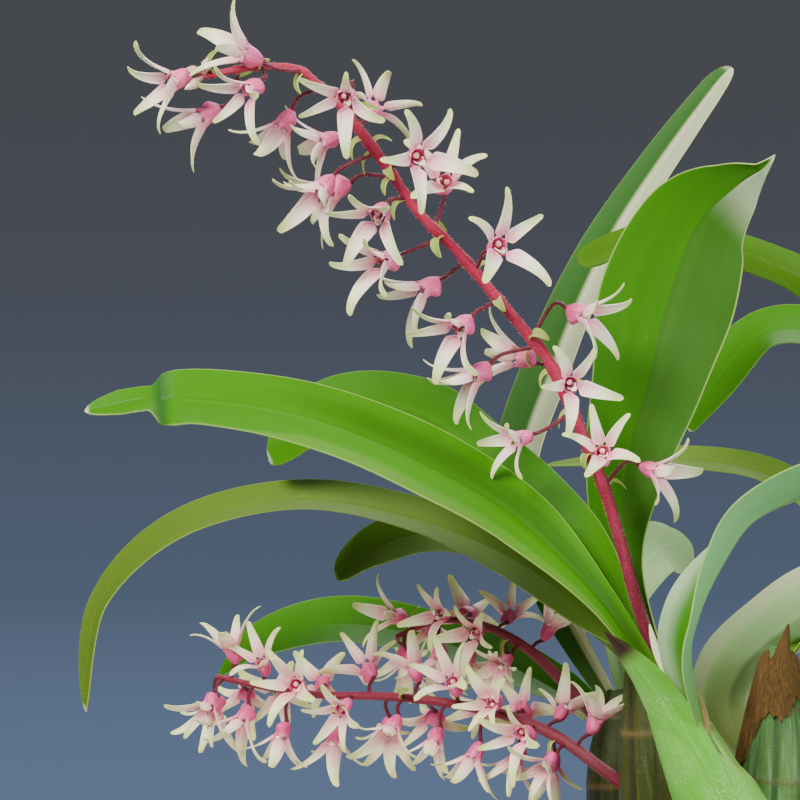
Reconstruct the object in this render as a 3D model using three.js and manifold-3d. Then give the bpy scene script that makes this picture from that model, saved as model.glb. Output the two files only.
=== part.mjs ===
// A potted orchid in flower: clay pot, bark mix, rhizome, pseudobulbs, strap leaves,
// dry sheaths, a main flower spike with its blooms, and two smaller flower sprays.
// Millimetres, +Z up, origin at the centre of the pot's base, flowering side towards -Y.

import * as THREE from 'three';
import { mergeVertices } from 'three/addons/utils/BufferGeometryUtils.js';
import Module from 'manifold-3d';

const wasm = await Module();
wasm.setup();

// Driving dimensions.
const GAP = 0.3;
const POT = {
  height: 130, rimRadius: 80, baseRadius: 56, wall: 6, floor: 8,
  bandHeight: 24, bandProud: 3, edge: 2, sides: 30,
  holes: 4, holeRadius: 5, holeRing: 30,
};
const MIX = { top: 118, crown: 3, chip: 2, rings: 3, around: 15, shoulder: 6 };
const RHIZOME = { radius: 4.6, height: 115.5 };
const LEAF = { rib: 1.5, margin: 0.7, across: 5, rings: 9 };
const BLOOM = {
  throat: 4.5, rim: 5.8, rimRadius: 2.7, mouth: 7, mouthRadius: 2.3,
  shoulder: 4.8, cupRadius: 3.5, waist: 2, waistRadius: 2.5, chin: 1.6, footRadius: 1.2,
  dorsal: 20, petal: 19, lateral: 22, dorsalWidth: 4.6, petalWidth: 4.4, lateralWidth: 5.8,
  thickness: 1, bend: 26, lip: 6, lipWidth: 2.6, lipThickness: 1.2,
};
const RACHIS = { base: 2.7, tip: 1.1, pedicel: 0.85 };
const BRACT = { length: 8, width: 3.6, thickness: 0.9 };
const SHEATH = { thickness: 0.8, tipThickness: 1.4 };
const GOLDEN_ANGLE = 137.5;

// Materials: colour, roughness and metalness of each finish.
const finish = (color, roughness) => new THREE.MeshStandardMaterial({ color, roughness, metalness: 0 });
const CLAY = finish(0xb0623f, 0.85);
const BARK = finish(0x5a3a26, 0.9);
const ROOT = finish(0x7d7a55, 0.7);
const GREEN_BULB = finish(0x8fc06a, 0.55);
const OLIVE_BULB = finish(0x5a6b2a, 0.6);
const DARK_BULB = finish(0x3a6b40, 0.5);
const LEAF_GREEN = finish(0x4f9a1e, 0.45);
const DRY_SHEATH = finish(0x8a5a30, 0.8);
const PALE_SHEATH = finish(0xa9cf86, 0.6);
const SPIKE_RED = finish(0xb5344a, 0.55);
const BLOOM_CREAM = finish(0xf2e6cf, 0.5);

const DEGREE = Math.PI / 180;

// A seeded draw of numbers between 0 and 1, so that each build is the same.
function seeded(seed) {
  let state = seed;
  return () => {
    state = (state * 1664525 + 1013904223) % 4294967296;
    return state / 4294967296;
  };
}

// A smooth run through rows of numbers, from the first row at t = 0 to the last at t = 1.
function along(rows, t) {
  const last = rows.length - 1;
  const place = Math.min(Math.max(t, 0), 1) * last;
  const step = Math.min(Math.floor(place), last - 1);
  const f = place - step;
  const before = rows[Math.max(step - 1, 0)];
  const from = rows[step];
  const to = rows[step + 1];
  const after = rows[Math.min(step + 2, last)];
  return from.map((value, k) => {
    const slopeIn = (to[k] - before[k]) / 2;
    const slopeOut = (after[k] - value) / 2;
    const bend = 2 * value - 2 * to[k] + slopeIn + slopeOut;
    const sag = 3 * to[k] - 3 * value - 2 * slopeIn - slopeOut;
    return ((bend * f + sag) * f + slopeIn) * f + value;
  });
}

const point = (row) => new THREE.Vector3(row[0], row[1], row[2]);

// The direction in which a run of rows goes at t.
function heading(rows, t) {
  const reach = 0.01;
  const ahead = point(along(rows, t + reach));
  return ahead.sub(point(along(rows, t - reach))).normalize();
}

// A closed skin over rings of points. Each ring has the same count, seen anticlockwise from its end.
// A flat cap joins a ring's two faces rung by rung, and a round cap fans out from its first point.
// Where a tip is given, the last ring closes on it.
function skin(rings, cap, tip = null) {
  const count = rings[0].length;
  const places = rings.flat();
  const faces = [];
  for (let i = 0; i < rings.length - 1; i += 1) {
    for (let j = 0; j < count; j += 1) {
      const next = (j + 1) % count;
      const a = i * count + j;
      const b = i * count + next;
      const c = a + count;
      const d = b + count;
      const mirrored = cap === 'flat' && j >= count / 2;
      faces.push(...(mirrored ? [a, b, c, b, d, c] : [a, b, d, a, d, c]));
    }
  }
  const close = (start, turned) => {
    const rungs = count / 2;
    for (let j = 0; j < rungs - 1; j += 1) {
      const a = start + j;
      const b = start + j + 1;
      const c = start + count - 1 - j;
      const d = start + count - 2 - j;
      faces.push(...(turned ? [a, b, d, a, d, c] : [a, d, b, a, c, d]));
    }
  };
  const fan = (start, turned) => {
    for (let j = 1; j < count - 1; j += 1) {
      const a = start + j;
      faces.push(...(turned ? [a, a + 1, start] : [a + 1, a, start]));
    }
  };
  const end = cap === 'flat' ? close : fan;
  end(0, false);
  const lastRing = (rings.length - 1) * count;
  if (tip) {
    places.push(tip);
    for (let j = 0; j < count; j += 1) {
      faces.push(lastRing + j, lastRing + (j + 1) % count, places.length - 1);
    }
  } else {
    end(lastRing, true);
  }
  const geometry = new THREE.BufferGeometry();
  const positions = places.flatMap((place) => [place.x, place.y, place.z]);
  geometry.setAttribute('position', new THREE.Float32BufferAttribute(positions, 3));
  geometry.setIndex(faces);
  return geometry;
}

// A closed geometry as a solid that can be joined and cut.
function solid(geometry) {
  const bare = geometry.clone();
  bare.deleteAttribute('normal');
  bare.deleteAttribute('uv');
  const merged = mergeVertices(bare, 1e-4);
  return new wasm.Manifold(new wasm.Mesh({
    numProp: 3,
    vertProperties: new Float32Array(merged.attributes.position.array),
    triVerts: new Uint32Array(merged.index.array),
  }));
}

const joined = (solids) => solids.reduce((sum, next) => sum.add(next));
const cut = (body, tools) => tools.reduce((rest, tool) => rest.subtract(tool), body);

const group = new THREE.Group();

// The largest piece of a solid: what a cut leaves loose beside it is dropped.
function largest(body) {
  return body.decompose().reduce((best, next) => (next.volume() > best.volume() ? next : best));
}

function place(body, name, material) {
  const mesh = largest(body).getMesh();
  const geometry = new THREE.BufferGeometry();
  geometry.setAttribute('position', new THREE.BufferAttribute(mesh.vertProperties, 3));
  geometry.setIndex(new THREE.BufferAttribute(mesh.triVerts, 1));
  geometry.computeVertexNormals();
  const node = new THREE.Mesh(geometry, material);
  node.name = name;
  group.add(node);
}

// A round stem through rows of [x, y, z, radius]. Extra radius makes it a cutting tool.
function stem(rows, rings, sides, extra = 0) {
  let side = new THREE.Vector3(0.3, 1, 0.2);
  const sections = [];
  for (let i = 0; i < rings; i += 1) {
    const t = i / (rings - 1);
    const row = along(rows, t);
    const middle = point(row);
    const ahead = heading(rows, t);
    side = side.clone().addScaledVector(ahead, -side.dot(ahead)).normalize();
    const other = new THREE.Vector3().crossVectors(ahead, side);
    if (i === 0) {
      middle.addScaledVector(ahead, -extra);
    }
    if (i === rings - 1) {
      middle.addScaledVector(ahead, extra);
    }
    const ring = [];
    for (let j = 0; j < sides; j += 1) {
      const angle = (2 * Math.PI * j) / sides;
      const radius = row[3] + extra;
      ring.push(middle.clone()
        .addScaledVector(side, radius * Math.cos(angle))
        .addScaledVector(other, radius * Math.sin(angle)));
    }
    sections.push(ring);
  }
  return solid(skin(sections, 'round'));
}

// A leaf blade through rows of [x, y, z, width]. Its upper side looks along the faces,
// it is rolled up by the curls, in degrees, and its margins wave a little.
function blade({ rows, faces, curls, wave = 0, across = LEAF.across, rings = LEAF.rings, rib = LEAF.rib }) {
  const sections = [];
  for (let i = 0; i < rings; i += 1) {
    const t = i / (rings - 1);
    const row = along(rows, t);
    const middle = point(row);
    const ahead = heading(rows, t);
    const up = point(along(faces, t));
    up.addScaledVector(ahead, -up.dot(ahead)).normalize();
    const side = new THREE.Vector3().crossVectors(ahead, up);
    const curl = along(curls.map((angle) => [angle * DEGREE]), t)[0];
    const bow = row[3] / 2 / curl;
    const upper = [];
    const under = [];
    for (let j = 0; j < across; j += 1) {
      const s = (2 * j) / (across - 1) - 1;
      const lean = curl * s;
      const ripple = wave * s * s * Math.sin(4 * Math.PI * t + (s > 0 ? 0 : 2));
      const normal = up.clone().multiplyScalar(Math.cos(lean)).addScaledVector(side, -Math.sin(lean));
      const centre = middle.clone()
        .addScaledVector(side, bow * Math.sin(lean))
        .addScaledVector(up, bow * (1 - Math.cos(lean)) + ripple);
      const half = (rib + (LEAF.margin - rib) * Math.abs(s)) / 2;
      upper.push(centre.clone().addScaledVector(normal, half));
      under.push(centre.clone().addScaledVector(normal, -half));
    }
    sections.push([...upper, ...under.reverse()]);
  }
  return solid(skin(sections, 'flat'));
}

// A small pointed petal, lip or bract with a diamond section, through points on its middle line.
function petal(points, normal, width, thickness, shares = [0.55, 1, 0.72]) {
  const rows = points.map((place3) => place3.toArray());
  const sections = shares.map((share, i) => {
    const t = i / shares.length;
    const ahead = heading(rows, t);
    const up = normal.clone().addScaledVector(ahead, -normal.dot(ahead)).normalize();
    const side = new THREE.Vector3().crossVectors(ahead, up);
    const middle = point(along(rows, t));
    const half = (width * share) / 2;
    const thick = (thickness * (0.6 + 0.4 * share)) / 2;
    return [
      middle.clone().addScaledVector(side, -half),
      middle.clone().addScaledVector(up, thick),
      middle.clone().addScaledVector(side, half),
      middle.clone().addScaledVector(up, -thick),
    ];
  });
  return solid(skin(sections, 'round', point(rows[rows.length - 1])));
}

// The pot: a thick clay wall with a rim band, and drain holes in a ring off the middle of its floor.
function pot() {
  const slope = (POT.rimRadius - POT.bandProud - POT.baseRadius) / POT.height;
  const outer = (z) => POT.baseRadius + slope * z;
  const bandFoot = POT.height - POT.bandHeight;
  const profile = [
    [0, 0],
    [POT.baseRadius - POT.edge, 0],
    [POT.baseRadius, POT.edge],
    [outer(bandFoot), bandFoot],
    [POT.rimRadius - 1, bandFoot],
    [POT.rimRadius, POT.height - POT.edge],
    [POT.rimRadius - POT.edge, POT.height],
    [POT.rimRadius - POT.wall, POT.height],
    [outer(POT.height - POT.edge) - POT.wall, POT.height - POT.edge * 2],
    [outer(POT.floor) - POT.wall, POT.floor],
    [0, POT.floor],
  ];
  const wall = new THREE.LatheGeometry(profile.map(([r, z]) => new THREE.Vector2(r, z)), POT.sides);
  wall.rotateX(Math.PI / 2);
  const holes = [];
  for (let i = 0; i < POT.holes; i += 1) {
    const angle = ((i + 0.5) * 2 * Math.PI) / POT.holes;
    const hole = new THREE.CylinderGeometry(POT.holeRadius, POT.holeRadius, POT.floor * 3, 10);
    hole.rotateX(Math.PI / 2);
    hole.translate(POT.holeRing * Math.cos(angle), POT.holeRing * Math.sin(angle), 0);
    holes.push(solid(hole));
  }
  return cut(solid(wall), holes);
}

// The bark mix: it fills the pot to just below the rim, with a rough crown of chips.
function mix() {
  const draw = seeded(11);
  const slope = (POT.rimRadius - POT.bandProud - POT.baseRadius) / POT.height;
  const inner = (z) => POT.baseRadius + slope * z - POT.wall - GAP;
  const foot = POT.floor + GAP;
  const rings = [];
  const ringOf = (radius, height) => {
    const ring = [];
    for (let j = 0; j < MIX.around; j += 1) {
      const angle = (2 * Math.PI * j) / MIX.around;
      ring.push(new THREE.Vector3(radius * Math.cos(angle), radius * Math.sin(angle), height(angle)));
    }
    return ring;
  };
  const shrink = Math.cos(Math.PI / POT.sides);
  const shoulder = MIX.top - MIX.shoulder;
  rings.push(ringOf(inner(foot) * shrink, () => foot));
  rings.push(ringOf(inner(shoulder) * shrink, () => shoulder));
  for (let i = MIX.rings; i >= 1; i -= 1) {
    const share = i / MIX.rings;
    const crown = MIX.top + MIX.crown * (1 - share * share);
    rings.push(ringOf((inner(shoulder) * shrink - 1) * share, () => crown + MIX.chip * (draw() * 2 - 1)));
  }
  return solid(skin(rings, 'round'));
}

// Pseudobulbs: rows of [x, y, z, radius] from the foot up. The front one leans left and flowers.
const BULBS = {
  front: {
    material: GREEN_BULB,
    rows: [
      [20, -38, 114, 7], [15, -38, 130, 15], [4, -38, 148, 17], [-6, -38, 168, 14],
      [-20, -38, 198, 9], [-28, -38, 216, 4.6],
    ],
  },
  old: {
    material: OLIVE_BULB,
    rows: [
      [-22, -4, 114, 7], [-22, -4, 134, 13], [-23, -5, 156, 15], [-25, -5, 180, 13.5],
      [-28, -5, 206, 9], [-30, -5, 222, 5],
    ],
  },
  sheathed: {
    material: DARK_BULB,
    rows: [
      [20, 8, 114, 7], [20, 8, 134, 14], [21, 8, 158, 16], [22, 8, 182, 13.5], [22, 8, 204, 8],
      [22, 8, 216, 4],
    ],
  },
  rear: {
    material: OLIVE_BULB,
    rows: [
      [-34, 42, 114, 6], [-34, 42, 130, 11], [-35, 43, 148, 12.5], [-36, 44, 168, 11],
      [-36, 45, 184, 7], [-36, 46, 194, 4],
    ],
  },
  right: {
    material: DARK_BULB,
    rows: [
      [44, 36, 114, 6], [44, 36, 130, 12], [44, 36, 150, 13.5], [44, 37, 172, 12], [44, 38, 192, 7],
      [44, 38, 204, 4],
    ],
  },
  outer: {
    material: GREEN_BULB,
    rows: [
      [52, -15, 114, 6], [52, -15, 130, 12], [53, -15, 150, 13.5], [54, -15, 170, 11.5],
      [55, -15, 188, 7], [56, -15, 200, 4],
    ],
  },
};
const bulb = (name, extra) => stem(BULBS[name].rows, 8, 10, extra);

// Leaves: the pseudobulb that carries each, its middle line as [x, y, z, width], and where it faces.
const LEAVES = {
  leaf_front_long: {
    on: 'front', wave: 0.6,
    rows: [
      [-27, -42, 209, 8], [-49, -49, 241.3, 12.5], [-77, -45, 269, 27.5], [-106, -46, 287, 34],
      [-138, -46, 301.5, 32], [-170, -47, 310.4, 29], [-204, -49, 313.5, 24], [-232, -51, 309, 2],
    ],
    faces: [[0.2, -0.9, 0.6], [0.1, -0.7, 0.75], [0, -0.65, 0.75], [0, -0.7, 0.7]],
    curls: [50, 26, 16, 16, 22],
  },
  leaf_front_second: {
    on: 'front', wave: 0.6,
    rows: [
      [-26, -35, 209, 8], [-48, -31, 252, 18], [-68, -20, 272, 25], [-91, -1, 288.5, 29],
      [-116, 15, 303.5, 33], [-147, 27, 303, 31], [-170, 37, 284, 14],
    ],
    faces: [[-0.5, -0.7, 0.5], [-0.4, -0.6, 0.7], [-0.15, -0.6, 0.8], [-0.45, -0.75, 0.45]],
    curls: [70, 34, 22, 20],
  },
  leaf_upright: {
    on: 'front', wave: 0.8,
    rows: [
      [-24, -34, 207, 9], [-38, -19, 250, 18], [-37, -16, 285, 31], [-29, -16, 318, 42],
      [-22, -15, 347, 51], [-12, -17, 374, 42], [2, -24, 389, 21], [12, -33, 396, 2],
    ],
    faces: [[-0.3, -0.9, 0.1], [-0.2, -0.95, 0], [-0.2, -0.95, 0.1], [-0.1, -0.9, -0.2]],
    curls: [70, 30, 18, 20],
  },
  leaf_front_right: {
    on: 'front', wave: 0.6,
    rows: [
      [-12, -44, 196, 11], [-17, -53, 221, 22.5], [-14.8, -55, 236, 26.5], [-5.8, -56, 256, 26],
      [6.5, -55, 272, 28], [31, -51, 282, 31.5], [58, -46, 279, 29], [84, -41, 263, 22],
      [106, -37, 237, 12], [119, -35, 211, 2],
    ],
    faces: [
      [-0.9, -0.45, 0.1], [-0.88, -0.48, 0.1], [-0.88, -0.45, 0.15], [-0.7, 0.1, 0.5],
      [-0.35, 0.45, 0.75], [-0.1, 0.5, 0.8], [0, 0.4, 0.9], [0.1, 0.4, 0.9], [0.2, 0.3, 0.9],
      [0.3, 0.3, 0.9],
    ],
    curls: [84, 84, 34, 22, 20],
  },
  leaf_rear_tall: {
    on: 'rear',
    rows: [
      [-36, 46, 188, 9], [-57, 77, 228, 22], [-70, 84, 273, 31], [-57, 89, 316, 35],
      [-38.5, 94, 359, 31], [-14, 97, 398, 24], [12, 98, 435, 13],
    ],
    faces: [[-0.8, -0.5, 0.2], [-0.8, -0.5, 0.2], [-0.8, -0.5, 0.2]],
    curls: [70, 45, 40, 35],
  },
  leaf_right_over: {
    on: 'right', wave: 0.6,
    rows: [
      [48, 35, 199, 8], [64, 43, 240, 22], [71, 42, 284, 26], [61, 38, 323, 24],
      [39, 30, 348, 19.5], [13, 20, 361, 17.5], [-11, 12, 367, 17], [-33, 5, 368.5, 13.5],
      [-54, -3, 360, 11],
    ],
    faces: [[-0.7, -0.5, 0.3], [-0.7, -0.5, 0.4], [-0.2, -0.7, 0.6], [0, -0.7, 0.6]],
    curls: [70, 35, 22, 20],
  },
  leaf_right_back: {
    on: 'right',
    rows: [
      [46, 42, 197, 8], [66, 62, 236, 25], [72, 72, 286, 31], [54, 77, 324, 29],
      [26, 82, 330.5, 29], [4, 87, 308, 24], [-5, 90, 291, 6],
    ],
    faces: [[-0.6, -0.5, 0.3], [-0.5, -0.4, 0.7], [-0.1, -0.45, 0.85], [-0.6, -0.6, 0.4]],
    curls: [70, 35, 22, 20],
  },
  leaf_olive_bar: {
    on: 'sheathed',
    rows: [
      [23, 12, 206, 7], [43, 42, 230, 13], [46, 47, 259, 18], [22, 47, 277, 19],
      [-8, 45, 283, 17], [-36, 45, 283, 14], [-64, 45, 281, 3],
    ],
    faces: [[-0.6, -0.4, 0.5], [-0.4, -0.5, 0.8], [0, -0.4, 0.9], [0, -0.3, 0.9]],
    curls: [70, 35, 22, 20],
  },
  leaf_far_pale: {
    on: 'rear',
    rows: [
      [-31, 48, 182, 8], [-30, 56, 212, 20], [-27, 67, 236, 26], [-19, 77, 247, 28],
      [-10, 86, 243, 24], [-2, 92, 236, 12],
    ],
    faces: [[0.9, 0.2, 0.2], [0.6, -0.2, 0.6], [0.3, -0.6, 0.7], [0.3, -0.7, 0.6]],
    curls: [70, 30, 14, 10],
  },
  leaf_sheathed_right: {
    on: 'sheathed', clear: 1.5,
    rows: [
      [14, 17, 172, 9], [3, 24, 192, 20], [5, 25, 208, 27], [19, 20, 223, 29], [42, 8, 236, 31],
      [71, -4, 239, 24], [99, -12, 225, 14], [116, -14, 202, 2],
    ],
    faces: [[-0.2, 0.8, 0.4], [-0.3, 0.75, 0.6], [0.1, 0.75, 0.65], [0.5, 0.2, 0.8]],
    curls: [70, 35, 24, 20],
  },
  leaf_old_long: {
    on: 'old', wave: 0.8,
    rows: [
      [-29, -4, 214, 8], [-45, 2, 226, 22], [-75, 13, 247, 30], [-112, 24, 261.6, 28],
      [-158, 34, 268.5, 27], [-205, 41, 257, 26], [-235, 43, 228, 21], [-241, 43, 186, 12],
    ],
    faces: [[-0.3, -0.4, 0.8], [-0.3, -0.3, 0.9], [-0.1, -0.3, 0.9], [-0.6, -0.3, 0.6]],
    curls: [70, 30, 22, 22],
  },
  leaf_old_short: {
    on: 'old',
    rows: [
      [-28, 0, 204, 8], [-35, 14, 216, 20], [-48, 30, 230, 28], [-72, 47, 246, 30],
      [-103, 57, 254, 28], [-130, 63, 247, 24], [-145, 66, 235, 12],
    ],
    faces: [[-0.2, 0.2, 0.9], [-0.3, -0.1, 0.9], [-0.2, -0.5, 0.8], [-0.5, -0.6, 0.6]],
    curls: [70, 30, 22, 22],
  },
  leaf_rear_left: {
    on: 'rear',
    rows: [
      [-38, 48, 178, 8], [-58, 82, 188, 20], [-90, 103, 200, 29], [-140, 115, 210, 30],
      [-177, 121, 202, 22], [-195, 124, 186, 2],
    ],
    faces: [[-0.3, -0.2, 0.9], [-0.2, -0.4, 0.9], [0, -0.5, 0.8], [-0.4, -0.5, 0.7]],
    curls: [70, 30, 22, 22],
  },
  leaf_outer_front: {
    on: 'outer',
    rows: [
      [57, -18, 194, 8], [70, -32, 230, 26], [94, -58, 238, 35], [126, -70, 247, 37],
      [160, -76, 240, 32], [186, -80, 219, 20], [200, -82, 196, 2],
    ],
    faces: [[-0.5, 0.1, 0.5], [-0.5, 0, 0.8], [0, -0.1, 1], [0.6, 0, 0.8]],
    curls: [70, 32, 22, 20],
  },
  leaf_outer_right: {
    on: 'outer',
    rows: [
      [58, -11, 192, 8], [78, 10, 220, 26], [106, 29, 238, 36], [138, 41, 242, 36],
      [166, 49, 227, 24], [184, 55, 202, 2],
    ],
    faces: [[-0.4, -0.2, 0.8], [-0.3, -0.1, 0.9], [0.2, 0, 1], [0.7, 0, 0.7]],
    curls: [70, 32, 22, 20],
  },
  leaf_outer_low: {
    on: 'outer',
    rows: [
      [53, -20, 186, 8], [51, -48, 218, 23], [57, -76, 236, 33], [65, -104, 236, 31],
      [73, -128, 218, 20], [79, -142, 194, 2],
    ],
    faces: [[0, 0.5, 0.8], [0, 0.4, 0.9], [0, -0.2, 1], [0, -0.7, 0.7]],
    curls: [70, 32, 22, 20],
  },
  leaf_right_low: {
    on: 'right',
    rows: [
      [48, 40, 188, 8], [72, 58, 216, 25], [102, 72, 236, 33], [134, 84, 236, 31],
      [162, 94, 216, 19], [178, 100, 192, 2],
    ],
    faces: [[-0.3, -0.3, 0.9], [-0.2, -0.2, 0.9], [0.2, 0, 1], [0.7, 0.2, 0.7]],
    curls: [70, 32, 22, 20],
  },
};

// Sheaths: sleeves that clasp a pseudobulb up to a slanted mouth, each with a free pointed tip.
const SHEATHS = {
  sheath_front: { on: 'front', material: PALE_SHEATH, foot: 136, mouth: [-17, -38, 195], lean: 42,
    tip: [[-24, -47, 194], [-34, -51, 212], [-45, -54, 229]], tipWidth: 12, facing: [0.3, 1, 0.2] },
  sheath_brown: { on: 'sheathed', material: DRY_SHEATH, foot: 185, mouth: [22, 8, 207], lean: 12,
    tip: [[22, 1.5, 204], [22, 1, 214], [25, 3, 226]], tipWidth: 10, facing: [0, 1, 0.1] },
};
function sheath({ on, foot, mouth, lean, tip, tipWidth, facing }) {
  const side = 200;
  const above = new THREE.BoxGeometry(side, side, side);
  above.translate(0, 0, side / 2);
  above.rotateY(lean * DEGREE);
  above.translate(...mouth);
  const below = new THREE.BoxGeometry(side, side, side);
  below.translate(...BULBS[on].rows[0].slice(0, 2), foot - side / 2);
  const sleeve = cut(bulb(on, GAP + SHEATH.thickness), [bulb(on, GAP), solid(above), solid(below)]);
  const flap = petal(tip.map(point), new THREE.Vector3(...facing), tipWidth, SHEATH.tipThickness, [1, 0.8]);
  return cut(joined([largest(sleeve), flap]), [bulb(on, GAP)]);
}

// The rhizome creeps over the bark from foot to foot, with a few roots that dive into it.
const CREEPS = [['rear', 'old', 'front'], ['old', 'sheathed', 'right'], ['sheathed', 'outer']];
const ROOTS = [
  [[-24, -8, 116, 1.6], [-34, -20, 120, 1.6], [-44, -30, 119, 1.5], [-52, -38, 113, 1.3]],
  [[22, -40, 116, 1.6], [10, -52, 119.5, 1.6], [-4, -60, 119, 1.5], [-14, -64, 113, 1.3]],
  [[50, -17, 116, 1.6], [58, -30, 119, 1.6], [60, -40, 117.5, 1.5], [58, -48, 112, 1.3]],
  [[44, 38, 116, 1.6], [34, 50, 119.5, 1.6], [20, 58, 119, 1.5], [8, 62, 113, 1.3]],
];
function rhizome(extra) {
  const runs = CREEPS.map((names) => {
    const rows = names.map((name) => [...BULBS[name].rows[0].slice(0, 2), RHIZOME.height, RHIZOME.radius]);
    return stem(rows, names.length * 2 - 1, 6, extra);
  });
  return joined([...runs, ...ROOTS.map((rows) => stem(rows, 4, 4, extra))]);
}

// The main spike: it leaves the front pseudobulb, rises to the left and nods at its tip.
const SPIKE = [
  [-20, -39, 204], [-27, -41, 222], [-33, -42, 240], [-39, -41, 260], [-46, -39, 280],
  [-55, -38, 301], [-66, -37, 325], [-77, -36, 339], [-88, -36, 352], [-100, -36, 366],
  [-113, -36, 379], [-125, -36, 396], [-140, -36, 416], [-149, -36, 425], [-158, -36, 431],
  [-174, -36, 431], [-190, -36, 428],
];
const LOW_SPRAY = [
  [-26, -5, 158], [-45, -2, 172], [-60, 5, 182], [-78, 12, 189], [-100, 18, 193], [-124, 23, 195],
  [-152, 28, 195], [-174, 31, 198], [-190, 34, 201],
];
const FAR_SPRAY = [
  [-38, 42, 176], [-54, 44, 194], [-69, 51, 208], [-86, 57, 217], [-104, 62, 219], [-121, 66, 212],
];
const taper = (line) => line.map((row, i) => {
  const share = i / (line.length - 1);
  return [...row, RACHIS.base + (RACHIS.tip - RACHIS.base) * share];
});

// The way a bloom looks: yaw turns it from the front to the right, pitch up, turn clockwise.
function stance(yaw, pitch, turn) {
  const ahead = new THREE.Vector3(
    Math.sin(yaw * DEGREE) * Math.cos(pitch * DEGREE),
    -Math.cos(yaw * DEGREE) * Math.cos(pitch * DEGREE),
    Math.sin(pitch * DEGREE),
  );
  const right = new THREE.Vector3(Math.cos(yaw * DEGREE), Math.sin(yaw * DEGREE), 0);
  const up = new THREE.Vector3().crossVectors(ahead, right);
  const cos = Math.cos(turn * DEGREE);
  const sin = Math.sin(turn * DEGREE);
  const top = up.clone().multiplyScalar(cos).addScaledVector(right, sin);
  const side = right.clone().multiplyScalar(cos).addScaledVector(up, -sin);
  return { ahead, top, side };
}

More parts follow.
